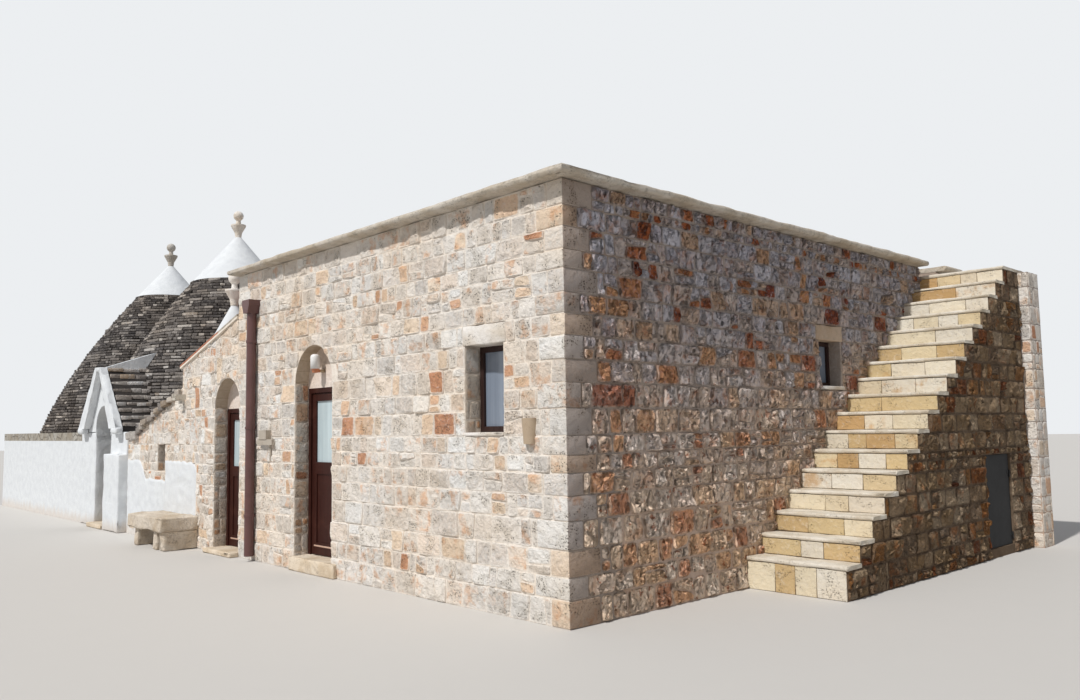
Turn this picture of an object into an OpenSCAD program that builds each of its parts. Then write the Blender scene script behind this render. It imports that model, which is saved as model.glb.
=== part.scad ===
// Stone house with two dry stone cones, a flat roofed block and an outside stair.
// Built about the block's front right corner: x along the facade, y into the house, z up.
// The whole is then moved so that z = 0 is the ground under the middle of its box.

/* [Block] */
// width of the flat roofed block along the facade
block_w = 5770; // [5740:5:5800]
// depth of the block and of its stair landing
block_d = 7200; // [7150:10:7300]
// thickness of the outer walls
wall_t = 600; // [560:10:640]
// parapet above the roof surface, up to the underside of the coping
parapet_h = 118; // [100:2:140]
// thickness of the coping slabs
cope_t = 68; // [60:1:80]
// how far the coping stands out from the wall
cope_out = 150; // [130:5:170]
// thickness of the block's roof slab
roof_t = 236; // [200:4:260]

/* [Stair] */
// height of one step
rise = 190; // [186:1:194]
// depth of one step, nose to nose
run = 251; // [248:1:254]
// length of the treads
stair_w = 1003; // [980:1:1030]
// distance from the facade to the first nose
stair_y = 2310; // [2290:5:2330]
// thickness of the tread slabs
tread_t = 40; // [35:1:45]
// how far a tread stands out over its riser
nose_out = 20; // [15:1:30]

/* [Doorways] */
// left edge of the right doorway, from the corner
door_r_x = -4300; // [-4320:5:-4280]
// width of the right doorway
door_r_w = 810; // [790:5:830]
// level of the right doorway's square head
door_r_head = 1990; // [1980:2:2000]
// distance from the block's left end to the left doorway's far edge
door_l_off = 680; // [670:5:690]
// width of the left doorway
door_l_w = 740; // [730:2:750]
// level of the left doorway's square head
door_l_head = 1815; // [1805:2:1820]
// depth of the arched recess in front of each door
recess = 170; // [150:2:190]
// thickness of the door leaves
leaf_t = 45; // [40:1:50]

/* [Wing] */
// level of the wing's sloping top against the block
rake_hi = 2980; // [2960:5:3000]
// level of the wing's sloping top at its left end
rake_lo = 2460; // [2440:5:2480]
// width of the wing, beside the block
wing_w = 1770; // [1750:5:1790]

/* [Trullo] */
// length of the low walls beyond the wing
base_l = 10060; // [10040:10:10110]
// depth of the low walls
base_d = 5100; // [5080:10:5140]
// level of the eaves of the cones
eave = 1550; // [1540:2:1560]
// distance from the wing to the middle cone's axis
mid_off = 3770; // [3750:5:3790]
// distance from the low wall's faces to the rims of the large cones
rim_in = 100; // [90:5:110]
// level of the tip of the large cones
tip = 5285; // [5260:5:5310]
// thickness of the cone shells
shell_t = 350; // [320:5:380]
// distance from the wing to the middle of the doorway gable
gable_off = 3260; // [3240:5:3280]
// width of the doorway in the gable
gable_door_w = 740; // [730:2:760]

/* [Fittings] */
// width of the front window
win_w = 515; // [500:5:530]
// diameter of the downpipe
pipe_d = 110; // [100:2:120]
// level of the hopper's brim on the downpipe
pipe_top = 3090; // [3060:5:3120]
// length of the bench
bench_l = 1250; // [1220:10:1280]

/* [Hidden] */
$fn = 48;
e = 1;
n_step = 17;
step_0 = 106;
roof_z = step_0 + n_step * rise;
wall_h = roof_z + parapet_h;
ledge_in = 250;
inner_top = roof_z - roof_t;
land_y = stair_y + (n_step - 1) * run;
tread_over = 15;
// depth of the rounding along the coping's edge and the treads' noses
nose_r = 30;
tread_r = 14;
pier_out = 122;
pier_in = 400;
pier_w = 350;
wing_x = -block_w - wing_w;
base_x = wing_x - base_l;
rim_r = base_d / 2 - rim_in;
mid_x = wing_x - mid_off;
mid_y = base_d / 2 - 90;
left_x = base_x + rim_r + 90;
left_y = base_d / 2 + 40;
gable_x = wing_x - gable_off;
cap_h = 800;
// the middle cap reaches down over three more courses
mid_cap_h = cap_h + 3 * (tip - cap_h - eave) / 51;
// number of stone courses on a large cone
course_n = 51;
door_l_x = -block_w - door_l_off;
door_r_x1 = door_r_x + door_r_w;
door_l_x1 = door_l_x + door_l_w;
spring_r = door_r_head + 53;
spring_l = door_l_head + 12;
bear = 150;
rake = (rake_hi - rake_lo) / (-block_w - wing_x);
tile_t = 50;
hood_out = 115;
hood_in = 630;
gable_y = -30;
floor_block = 140;
floor_wing = 50;
floor_trullo = 60;
box_x0 = base_x;
box_x1 = stair_w + pier_out - tread_over;
box_y0 = -500;
box_y1 = block_d + cope_out;
g_half = 1140;
low_x = gable_x + g_half;
slab_t = 150;
frame_w = 55;
frame_d = 60;
skirt_x = mid_x + rim_r + 40;
skirt_hi = 2080;
// left foot and level of the low front wall's sloping top
low_foot = wing_x - 1860;
low_top = 1500;
// radius of a hinge pin, clearance in its eye and radius of the barrel
pin_r = 5;
pin_c = 0.05;
barrel_r = 9;
clr = 6;
clr_far = 9;
// gap under the tiles that are laid on the wing's slope
seat = 0.3;
// the store under the stair's landing
side_x = stair_w - tread_over;
store_y = 5490;
store_w = 720;
store_z = 100;
store_h = 1030;
// openings of the front, side and small windows
win_x0 = -1240;
win_x1 = win_x0 + win_w;
win_z0 = 1450;
win_z1 = 2224;
sw_y0 = 3789;
sw_y1 = 4239;
sw_z0 = 1906;
sw_z1 = 2392;
mw_x0 = wing_x - 885;
mw_x1 = mw_x0 + 287;
mw_z0 = 972;
mw_z1 = 1354;
mw_f = 35;
// tops of the door slabs
step_r = 150;
step_l = 60;
wing_in = 500;

function rake_z(x) = rake_hi + (x + block_w) * rake;
// depth below the tip and radius of a large cone's outer face
PROFILE = [for (p = [[0, 0], [800, 680], [1300, 1070], [2000, 1560], [2660, 1960], [3200, 2230],
    [tip - eave, 2450]]) [p[0], p[1] * rim_r / 2450]];

module place() translate([-(box_x0 + box_x1) / 2, -(box_y0 + box_y1) / 2, 0]) children();
module box(x0, x1, y0, y1, z0, z1) translate([x0, y0, z0]) cube([x1 - x0, y1 - y0, z1 - z0]);
// an outline in x and z, run from y0 to y1
module run_y(pts, y0, y1) translate([0, y1, 0]) rotate([90, 0, 0]) linear_extrude(y1 - y0) polygon(pts);
// an outline in y and z, run from x0 to x1
module run_x(pts, x0, x1) translate([x0, 0, 0]) rotate([90, 0, 90]) linear_extrude(x1 - x0) polygon(pts);
// a round headed opening
module arch(x0, x1, z0, spring, y0, y1) {
    box(x0, x1, y0, y1, z0, spring);
    translate([(x0 + x1) / 2, y1, spring]) rotate([90, 0, 0]) cylinder(d = x1 - x0, h = y1 - y0);
}
// the seat of the roof slab along the tops of the block's walls
module roof_seat(grow = 0)
    box(-block_w + wall_t - ledge_in, -wall_t + ledge_in, wall_t - ledge_in, block_d - wall_t + ledge_in,
        inner_top, roof_z + grow);

// floors inside the rooms
module floors() color([0.62, 0.56, 0.48]) {
    box(-block_w + wall_t, -wall_t, wall_t, block_d - wall_t, 0, floor_block);
    box(wing_x + wing_in, door_l_x1, wall_t, base_d - wall_t, 0, floor_wing);
    box(base_x + wall_t, wing_x, wall_t, base_d - wall_t, 0, floor_trullo);
}

// worn slabs in the doorways and before them
module thresholds() color([0.78, 0.70, 0.58]) {
    box(door_r_x, door_r_x1, 0, wall_t, 0, step_r);
    box(door_r_x - 20, door_r_x1 + 120, -60, 0, 0, step_r);
    box(door_l_x, door_l_x1, -120, wall_t, 0, step_l);
    box(door_l_x - 50, door_l_x1 + 20, -120, 0, 0, step_l);
    box(gable_x - gable_door_w / 2, gable_x + gable_door_w / 2, gable_y - 120, wall_t, 0, 70);
}

module wall_front_right() color([0.84, 0.78, 0.68]) difference() {
    run_y([[door_r_x1, 0], [0, 0], [0, wall_h], [door_r_x1 + bear, wall_h], [door_r_x1 + bear, door_r_head],
        [door_r_x1, door_r_head]], 0, wall_t);
    roof_seat(parapet_h + e);
    box(win_x0, win_x1, -e, wall_t + e, win_z0, win_z1);
    front_lintel_box();
}
module front_lintel_box() box(win_x0 - 20, win_x1 + 30, -8, 200, win_z1, win_z1 + 175);

module wall_front_middle() color([0.83, 0.76, 0.66]) difference() {
    run_y([[door_l_x1, 0], [door_r_x, 0], [door_r_x, door_r_head], [door_r_x - bear, door_r_head],
        [door_r_x - bear, wall_h], [-block_w, wall_h], [-block_w, rake_hi - tile_t],
        [door_l_x1 + bear, rake_hi - tile_t], [door_l_x1 + bear, door_l_head],
        [door_l_x1, door_l_head]], 0, wall_t);
    roof_seat(parapet_h + e);
}

module walls_over_doors() color([0.84, 0.77, 0.67]) {
    difference() {
        box(door_r_x - bear, door_r_x1 + bear, 0, wall_t, door_r_head, wall_h);
        roof_seat(parapet_h + e);
        arch(door_r_x, door_r_x1, door_r_head - e, spring_r, -e, recess);
    }
    difference() {
        run_y([[door_l_x - bear, door_l_head], [door_l_x1 + bear, door_l_head],
            [door_l_x1 + bear, rake_hi - tile_t], [-block_w, rake_hi - tile_t],
            [door_l_x - bear, rake_z(door_l_x - bear) - tile_t]], 0, wall_t);
        wing_seat();
        arch(door_l_x, door_l_x1, door_l_head - e, spring_l, -e, recess);
    }
}
// the seat of the wing's roof, behind its front wall's face
module wing_seat() run_y([[wing_x + 250, rake_z(wing_x + 250) - tile_t - slab_t],
    [-block_w, rake_hi - tile_t - slab_t], [-block_w, rake_hi - tile_t],
    [wing_x + 250, rake_z(wing_x + 250) - tile_t]],
    350, base_d - 250);

module wall_wing_front() color([0.85, 0.78, 0.69]) difference() {
    run_y([[wing_x, 0], [door_l_x, 0], [door_l_x, door_l_head], [door_l_x - bear, door_l_head],
        [door_l_x - bear, rake_z(door_l_x - bear) - tile_t], [wing_x, rake_lo - tile_t]], 0, wall_t);
    wing_seat();
}

module wall_low_front() color([0.86, 0.80, 0.72]) difference() {
    run_y([[low_x, 0], [wing_x, 0], [wing_x, skirt_hi], [low_foot, low_top], [low_x, low_top]], 0, wall_t);
    box(mw_x0, mw_x1, -e, wall_t + e, mw_z0, mw_z1);
}

module wall_right() color([0.80, 0.74, 0.66]) difference() {
    box(-wall_t, 0, wall_t, block_d, 0, wall_h);
    roof_seat(parapet_h + e);
    box(-wall_t - e, e, sw_y0, sw_y1, sw_z0, sw_z1);
    side_lintel_box();
    side_sill_box();
    // the way from the landing on to the roof
    box(-wall_t - e, e, land_y, block_d - wall_t + ledge_in, roof_z, wall_h + e);
}
module side_lintel_box() box(-200, 6, sw_y0 - 50, sw_y1 + 50, sw_z1, sw_z1 + 170);
module side_sill_box() box(-200, 30, sw_y0 - 20, sw_y1 + 20, sw_z0 - 40, sw_z0);

module wall_back() color([0.82, 0.76, 0.67]) difference() {
    box(-block_w, -wall_t, block_d - wall_t, block_d, 0, wall_h);
    roof_seat(parapet_h + e);
}

module wall_left() color([0.82, 0.76, 0.67]) difference() {
    box(-block_w, -block_w + wall_t, wall_t, block_d - wall_t, 0, wall_h);
    roof_seat(parapet_h + e);
    // the wing's room runs a little further right than the block's upper face
    box(-block_w - e, door_l_x1, wall_t - e, base_d - wall_t, -e, 2600);
}

module roof_slab() color([0.74, 0.70, 0.62]) roof_seat();

// outline of a slab from a to b, rounded at both ends, standing on level z
function slab_pts(a, b, z, t, r) = [[a + r, z], [b - r, z],
    for (w = [-90:30:90]) [b - r + r * cos(w), z + t / 2 + t / 2 * sin(w)],
    [b - r, z + t], [a + r, z + t],
    for (w = [90:30:270]) [a + r + r * cos(w), z + t / 2 + t / 2 * sin(w)]];
module coping() color([0.80, 0.77, 0.70]) difference() {
    intersection() {
        run_x(slab_pts(-cope_out, block_d + cope_out, wall_h, cope_t, nose_r), -block_w - 40, cope_out);
        run_y(slab_pts(-block_w - 40, cope_out, wall_h, cope_t, nose_r), -cope_out, block_d + cope_out);
    }
    box(-block_w + 300, -300, 300, block_d - 300, wall_h - e, wall_h + cope_t + e);
    box(-301, cope_out + e, land_y, block_d - wall_t + ledge_in, wall_h - e, wall_h + cope_t + e);
}

module lintels() color([0.86, 0.82, 0.74]) { front_lintel_box(); side_lintel_box(); }

module sills() color([0.85, 0.82, 0.76]) {
    side_sill_box();
    box(win_x0, win_x1, -20, 200, win_z0, win_z0 + 30);
}

// a door frame of two posts and a head
module door_frame(x0, x1, z0, z1) difference() {
    box(x0, x1, recess, recess + frame_d, z0, z1);
    box(x0 + frame_w, x1 - frame_w, recess - e, recess + frame_d + e, z0 - e, z1 - frame_w);
}
module door_frames() color([0.27, 0.13, 0.10]) {
    door_frame(door_r_x, door_r_x1, step_r, door_r_head);
    door_frame(door_l_x, door_l_x1, step_l, door_l_head);
}
// hinges: the fixed barrel carries the pin, the eye above it turns with the leaf
module fixed_barrel(x, y, z) {
    translate([x, y, z]) cylinder(r = barrel_r, h = 40);
    translate([x, y, z + 39]) cylinder(r = pin_r, h = 41);
}
module eye(x, y, z) translate([x, y, z + 40.5]) difference() {
    cylinder(r = barrel_r, h = 40);
    translate([0, 0, -e]) cylinder(r = pin_r + pin_c, h = 42);
}
hinge_z = [300, 1350];
store_hz = [160, 860];
hinge_y = recess + frame_d + barrel_r + 1;
store_px = side_x - 20 + barrel_r + 1;
store_py = store_y + store_w - 14;
module hinge_pins() color([0.16, 0.14, 0.13]) {
    for (z = hinge_z, d = [door_r_x, door_l_x]) {
        fixed_barrel(d + frame_w + clr / 2, hinge_y, z + 150);
        box(d + 10, d + frame_w + clr / 2, hinge_y - barrel_r - 1, hinge_y - barrel_r + 2, z + 150, z + 190);
    }
    for (z = store_hz) {
        fixed_barrel(store_px, store_py, z);
        box(store_px - 8, store_px + 8, store_py, store_y + store_w, z, z + 40);
    }
}
leaf_y = recess + frame_d - leaf_t;
// a leaf with a pane above and a sunk panel below, and the eyes of its hinges
module leaf(x0, x1, z0, z1) {
    difference() {
        box(x0, x1, leaf_y, leaf_y + leaf_t, z0, z1);
        box(x0 + 85, x1 - 85, leaf_y - e, leaf_y + leaf_t + e, z0 + 1010, z1 - 85);
        box(x0 + 100, x1 - 100, leaf_y - e, leaf_y + 12, z0 + 130, z0 + 880);
    }
    for (z = hinge_z) {
        eye(x0 - clr / 2, hinge_y, z + 150);
        box(x0, x0 + 50, hinge_y - barrel_r - 2, hinge_y - barrel_r + 2, z + 190.5, z + 230.5);
    }
}
module pane(x0, x1, z0, z1)
    box(x0 + 85, x1 - 85, leaf_y + leaf_t / 2 - 5, leaf_y + leaf_t / 2 + 5, z0 + 1010, z1 - 85);
lr = [door_r_x + frame_w + clr, door_r_x1 - frame_w - clr_far, step_r + clr + 2,
    door_r_head - frame_w - clr];
ll = [door_l_x + frame_w + clr, door_l_x1 - frame_w - clr_far, step_l + clr + 2,
    door_l_head - frame_w - clr];
module door_leaf_right() color([0.25, 0.11, 0.09]) leaf(lr[0], lr[1], lr[2], lr[3]);
module door_glass_right() color([0.70, 0.76, 0.82]) pane(lr[0], lr[1], lr[2], lr[3]);
module door_leaf_left() color([0.25, 0.11, 0.09]) leaf(ll[0], ll[1], ll[2], ll[3]);
module door_glass_left() color([0.70, 0.76, 0.82]) pane(ll[0], ll[1], ll[2], ll[3]);

module window_frames() color([0.24, 0.12, 0.09]) {
    difference() {
        box(win_x0, win_x1, 170, 230, win_z0 + 30, win_z1);
        box(win_x0 + 50, win_x1 - 50, 169, 231, win_z0 + 80, win_z1 - 50);
    }
    difference() {
        box(-194, -134, sw_y0, sw_y1, sw_z0, sw_z1);
        box(-195, -133, sw_y0 + 45, sw_y1 - 45, sw_z0 + 45, sw_z1 - 45);
    }
    difference() {
        box(mw_x0, mw_x1, 150, 200, mw_z0, mw_z1);
        box(mw_x0 + mw_f, mw_x1 - mw_f, 150 - e, 200 + e, mw_z0 + mw_f, mw_z1 - mw_f);
    }
}
module window_glass() color([0.20, 0.24, 0.28]) {
    box(win_x0 + 50, win_x1 - 50, 195, 203, win_z0 + 80, win_z1 - 50);
    box(-168, -160, sw_y0 + 45, sw_y1 - 45, sw_z0 + 45, sw_z1 - 45);
    box(mw_x0 + mw_f, mw_x1 - mw_f, 172, 178, mw_z0 + mw_f, mw_z1 - mw_f);
}

// downpipe with a tapering hopper head and three straps
spout_x = -block_w + 500;
hopper_h = 160;
brim_h = 60;
hopper_w = 190;
spout_y = -15 - pipe_d / 2;
module downspout() color([0.22, 0.12, 0.10]) {
    translate([spout_x, spout_y, 60]) cylinder(d = pipe_d, h = pipe_top - 60 - hopper_h + 20);
    run_y([[spout_x - pipe_d / 2, pipe_top - hopper_h], [spout_x + pipe_d / 2, pipe_top - hopper_h],
        [spout_x + hopper_w / 2, pipe_top - brim_h], [spout_x + hopper_w / 2, pipe_top],
        [spout_x - hopper_w / 2, pipe_top], [spout_x - hopper_w / 2, pipe_top - brim_h]], -150, 0);
    for (z = [1, 3, 5] * pipe_top / 6) {
        translate([spout_x, spout_y, z]) cylinder(d = pipe_d + 14, h = 30);
        box(spout_x - 15, spout_x + 15, spout_y, 0, z, z + 30);
    }
}

module meter_box() color([0.80, 0.78, 0.74]) {
    box(-5055, -4865, -70, 0, 1425, 1530);
    box(-5110, -4735, -60, 0, 1360, 1425);
    translate([-4855, -14, 1180]) cylinder(d = 22, h = 185);
}

lamp_x = door_r_x + 340;
lamp_z = door_r_head + 160;
// distance of the lamp's axis from the back of the arch
lamp_out = 112;
module wall_lamp() color([0.93, 0.92, 0.88]) {
    translate([lamp_x, recess - lamp_out, lamp_z + 40]) cylinder(r = 52, h = 165);
    translate([lamp_x, recess - lamp_out, lamp_z]) cylinder(r1 = 30, r2 = 42, h = 41);
    box(lamp_x - 24, lamp_x + 24, recess - lamp_out, recess, lamp_z + 4, lamp_z + 36);
}

module corner_light() color([0.82, 0.76, 0.66]) intersection() {
    translate([-405, 0, 1385]) cylinder(r1 = 58, r2 = 72, h = 205);
    box(-500, -300, -100, 0, 1300, 1700);
}

// rubble core of the stair: steps cut in y and z, with a store under the landing
function nose(k) = stair_y + (k - 1) * run;
function level(k) = step_0 + k * rise;
function tread_end(k) = k == n_step ? block_d : nose(k + 1) + nose_out;
STEPS = concat([[nose(1) + nose_out, 0]],
    [for (k = [1:n_step]) for (j = [0, 1]) [j == 0 ? nose(k) + nose_out : tread_end(k), level(k) - tread_t]],
    [[block_d, 0]]);
module stair_body() color([0.80, 0.72, 0.58]) difference() {
    run_x(STEPS, 0, side_x);
    box(120, side_x + e, store_y, store_y + store_w, store_z, store_z + store_h);
}
// a tread's outline with its round nose
function tread_pts(k) = [[tread_end(k), level(k) - tread_t], [tread_end(k), level(k)],
    for (w = [90:30:270])
        [nose(k) + tread_r + tread_r * cos(w), level(k) - tread_t / 2 + tread_t / 2 * sin(w)]];
module stair_treads() color([0.82, 0.78, 0.69]) for (k = [1:n_step]) run_x(tread_pts(k), 0, stair_w);

module store_door() color([0.24, 0.25, 0.26]) {
    box(side_x - 60, side_x - 20, store_y + clr_far, store_y + store_w - clr, store_z + clr,
        store_z + store_h - clr);
    for (z = store_hz) {
        eye(store_px, store_py, z);
        box(side_x - 21, side_x - 17, store_py - 60, store_py, z + 40.5, z + 80.5);
    }
}

module end_pier() color([0.84, 0.79, 0.70])
    box(side_x, side_x + pier_out, block_d - pier_in, block_d - pier_in + pier_w, 0, roof_z - tread_t);

module wing_roof() color([0.62, 0.58, 0.52]) wing_seat();

// clay tiles along the sloping top
module wing_tiles() color([0.70, 0.36, 0.22]) difference() {
    run_y([[wing_x - 40, rake_z(wing_x - 40) - tile_t + seat], [-block_w, rake_hi - tile_t + seat],
        [-block_w, rake_hi], [wing_x - 40, rake_z(wing_x - 40)]], -30, base_d);
    near_cone(5);
}

module wing_wall_left() color([0.83, 0.77, 0.68]) difference() {
    run_y([[wing_x, 0], [wing_x + wing_in, 0], [wing_x + wing_in, rake_z(wing_x + wing_in) - tile_t],
        [wing_x, rake_lo - tile_t]],
        wall_t, base_d);
    wing_seat();
}
module wing_wall_back() color([0.83, 0.77, 0.68]) difference() {
    run_y([[wing_x + wing_in, 0], [-block_w, 0], [-block_w, rake_hi - tile_t],
        [wing_x + wing_in, rake_z(wing_x + wing_in) - tile_t]],
        base_d - wall_t, base_d);
    wing_seat();
}

wall_low_h = eave - slab_t;
module trullo_wall_front() color([0.93, 0.92, 0.90])
    box(base_x, gable_x - g_half, 0, wall_t, 0, wall_low_h);
module trullo_walls() color([0.90, 0.88, 0.85]) {
    box(base_x, base_x + wall_t, wall_t, base_d, 0, wall_low_h);
    box(base_x, wing_x, base_d - wall_t, base_d, 0, wall_low_h);
}
module cone_body(x, y, in, sides = 96) translate([x, y, 0]) rotate_extrude($fn = sides)
    polygon(concat([[0, eave]], [for (i = [len(PROFILE) - 1:-1:0])
        [max(PROFILE[i][1] - in, 0), tip - PROFILE[i][0] - in * 1.2]]));
// flat stone covered tops of the low walls, round the feet of the cones
module trullo_roof() color([0.52, 0.50, 0.47]) difference() {
    box(base_x, skirt_x, 0, base_d, wall_low_h, eave);
    for (c = [[left_x, left_y], [mid_x, mid_y]])
        translate([c[0], c[1], 0]) cylinder(r = rim_r - shell_t, h = tip, $fn = 96);
    box(gable_x - g_half, low_x, -e, wall_t - bear, 0, tip);
    box(low_x - e, skirt_x + e, -e, wall_t, 0, tip);
    gable_way();
}
module right_skirt(y0, y1) run_y([[skirt_x, wall_low_h], [wing_x, skirt_hi - slab_t], [wing_x, skirt_hi],
    [skirt_x, eave]], y0, y1);
module trullo_roof_right() color([0.52, 0.50, 0.47]) right_skirt(wall_t, base_d);

// radius of a large cone's smooth form at a level
function cone_r(z) = lookup(tip - z, PROFILE);
// outline of the dry courses, each set back from the one below
COURSES = [for (k = [0:course_n - 1]) for (j = [0, 1])
    [cone_r(course_z(k + 1)), course_z(k + j)]];
function course_z(k) = eave + k * (tip - cap_h - eave) / course_n;
module coursed_cone(x, y) translate([x, y, 0]) rotate_extrude($fn = 96)
    polygon(concat([[0, eave]], COURSES, [[0, course_z(course_n)]]));
module large_cone(x, y, cap) difference() {
    coursed_cone(x, y);
    cone_body(x, y, shell_t);
    translate([x, y, eave]) cylinder(r = rim_r - shell_t, h = 2 * e, center = true, $fn = 96);
    box(x - 1000, x + 1000, y - 1000, y + 1000, tip - cap, tip + e);
}
cut_x = (left_x + mid_x) / 2;
module cone_left() color([0.42, 0.41, 0.39]) intersection() {
    large_cone(left_x, left_y, cap_h);
    box(left_x - 3000, cut_x, left_y - 3000, left_y + 3000, 0, tip);
}
module cone_middle() color([0.44, 0.43, 0.41]) difference() {
    large_cone(mid_x, mid_y, mid_cap_h);
    box(mid_x - 3000, cut_x, mid_y - 3000, mid_y + 3000, 0, tip);
    gable_way();
}
// the passage through the gable and the foot of the middle cone
module gable_way()
    arch(gable_x - gable_door_w / 2, gable_x + gable_door_w / 2, 0, 1980 - gable_door_w / 2, -400, 1300);

module cone_caps() color([0.93, 0.93, 0.92]) for (c = [[left_x, left_y, cap_h], [mid_x, mid_y, mid_cap_h]])
    translate([c[0], c[1], tip - c[2]]) cylinder(r1 = cone_r(tip - c[2]), r2 = 60, h = c[2] - 70, $fn = 96);

near_x = wing_x + 500;
near_y = 500;
near_tip = 3350;
module near_cone(grow = 0) translate([near_x, near_y, 0])
    cylinder(r1 = (near_tip - 2300) / 1.92, r2 = 40, h = near_tip - 75, $fn = 64);
module cone_near() color([0.93, 0.93, 0.92]) difference() {
    translate([near_x, near_y, 2300])
        cylinder(r1 = (near_tip - 2300) / 1.92, r2 = 42, h = near_tip - 80 - 2300, $fn = 64);
    run_y([[near_x - 900, 2000], [near_x + 900, 2000], [near_x + 900, rake_z(near_x + 900)],
        [near_x - 900, rake_z(near_x - 900)]], near_y - 900, near_y + 900);
}

// cup and ball on the tip of a cone
module pinnacle(x, y, z, s) translate([x, y, z]) scale(s) rotate_extrude($fn = 48)
    polygon(concat([[0, 0], [56, 0], [66, 90], [138, 222], [138, 248], [48, 268], [42, 330]],
        [for (a = [-60:15:75]) [94 * cos(a), 425 + 94 * sin(a)]], [[0, 519]]));
module pinnacles() color([0.72, 0.71, 0.67]) {
    pinnacle(left_x, left_y, tip - 70, 1);
    pinnacle(mid_x, mid_y, tip - 70, 1);
    pinnacle(near_x, near_y, near_tip - 80, 0.9);
}

module gable_piers() color([0.94, 0.93, 0.91]) {
    box(gable_x - g_half, gable_x - gable_door_w / 2, gable_y, wall_t - bear, 0, eave);
    box(gable_x + gable_door_w / 2, low_x, gable_y, wall_t - bear, 0, eave);
    box(gable_x + gable_door_w / 2 + 60, low_x, gable_y - 120, gable_y, 0, 1200);
}
g_foot = 1620;
g_top = 2610;
// level at which the gable's slopes would meet, and its half width at the foot
g_tip = 2765;
roof_half = 957;
hood_z = g_foot - 20;
g_slope = (g_tip - g_foot) / roof_half;
// the blunt top of the gable, drawn in by a distance measured along x
function top_z(in) = min(g_top - in / 4, g_tip - in * g_slope);
function top_half(in) = max((g_tip - top_z(in)) / g_slope - in, 1);
// outline of the gable, drawn in by a distance measured along x
function gable_pts(in, foot) = [[gable_x - roof_half + in, foot], [gable_x + roof_half - in, foot],
    [gable_x + roof_half - in, g_foot], [gable_x + top_half(in), top_z(in)],
    [gable_x - top_half(in), top_z(in)], [gable_x - roof_half + in, g_foot]];
// whitewashed ridge that climbs from the gable to the cone
module ridge() run_x([[gable_y, g_top - 120], [gable_y, g_top], [800, g_top + 290], [800, g_top - 120]],
    gable_x - 110, gable_x + 110);
module gable_top() color([0.94, 0.93, 0.91]) difference() {
    union() {
        run_y(gable_pts(200, eave), gable_y, 1500);
        ridge();
    }
    cone_body(mid_x, mid_y, 0, 240);
    gable_way();
}
module gable_hood() color([0.95, 0.94, 0.92]) difference() {
    run_y(gable_pts(0, hood_z), gable_y - hood_out, gable_y);
    run_y([[gable_x - hood_in, hood_z - e], [gable_x + hood_in, hood_z - e], [gable_x + 50, g_top - 70],
        [gable_x - 50, g_top - 70]], gable_y - hood_out - e, gable_y + e);
}
module dormer_roof() color([0.45, 0.43, 0.40]) difference() {
    run_y(gable_pts(40, eave), gable_y, 1500);
    run_y(gable_pts(200, eave - e), gable_y - e, 1500 + e);
    cone_body(mid_x, mid_y, 0, 240);
    ridge();
}

bench_x = wing_x - 610;
module bench() color([0.80, 0.74, 0.64]) {
    box(bench_x, bench_x + bench_l, -500, 0, 240, 430);
    for (x = [130, 830, bench_l - 160]) box(bench_x + x, bench_x + x + 150, -450, 0, 0, 240);
}

module stone_spout() color([0.70, 0.68, 0.62]) difference() {
    box(wing_x + 30, wing_x + 130, -150, 0, 1960, 2040);
    box(wing_x + 55, wing_x + 105, -151, -10, 1990, 2041);
}

place() {
    floors();
    thresholds();
    wall_front_right();
    wall_front_middle();
    walls_over_doors();
    wall_wing_front();
    wall_low_front();
    wall_right();
    wall_back();
    wall_left();
    roof_slab();
    coping();
    lintels();
    sills();
    door_frames();
    door_leaf_right();
    door_glass_right();
    door_leaf_left();
    door_glass_left();
    window_frames();
    window_glass();
    downspout();
    meter_box();
    wall_lamp();
    corner_light();
    stair_body();
    stair_treads();
    store_door();
    hinge_pins();
    end_pier();
    wing_roof();
    wing_tiles();
    wing_wall_left();
    wing_wall_back();
    trullo_wall_front();
    trullo_walls();
    trullo_roof();
    trullo_roof_right();
    cone_left();
    cone_middle();
    cone_caps();
    cone_near();
    pinnacles();
    gable_piers();
    gable_top();
    gable_hood();
    dormer_roof();
    bench();
    stone_spout();
}
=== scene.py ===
import math
import random
from collections import namedtuple

import bmesh
import bpy
from mathutils import Matrix, Vector, noise


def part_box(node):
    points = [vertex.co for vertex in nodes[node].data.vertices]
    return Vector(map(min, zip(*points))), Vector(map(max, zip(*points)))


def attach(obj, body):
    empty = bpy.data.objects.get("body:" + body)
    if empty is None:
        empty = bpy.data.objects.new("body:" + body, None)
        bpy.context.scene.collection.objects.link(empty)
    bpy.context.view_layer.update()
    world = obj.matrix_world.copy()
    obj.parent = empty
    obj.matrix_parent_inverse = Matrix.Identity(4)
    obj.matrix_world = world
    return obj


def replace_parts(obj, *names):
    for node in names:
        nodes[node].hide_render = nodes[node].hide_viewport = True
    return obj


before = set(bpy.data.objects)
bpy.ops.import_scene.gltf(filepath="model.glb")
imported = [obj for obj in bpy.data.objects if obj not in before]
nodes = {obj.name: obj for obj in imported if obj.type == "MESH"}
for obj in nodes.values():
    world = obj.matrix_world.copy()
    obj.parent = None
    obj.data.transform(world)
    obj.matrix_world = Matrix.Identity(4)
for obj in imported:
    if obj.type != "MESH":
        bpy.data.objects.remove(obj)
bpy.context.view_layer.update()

HOUSE = "house"

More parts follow.
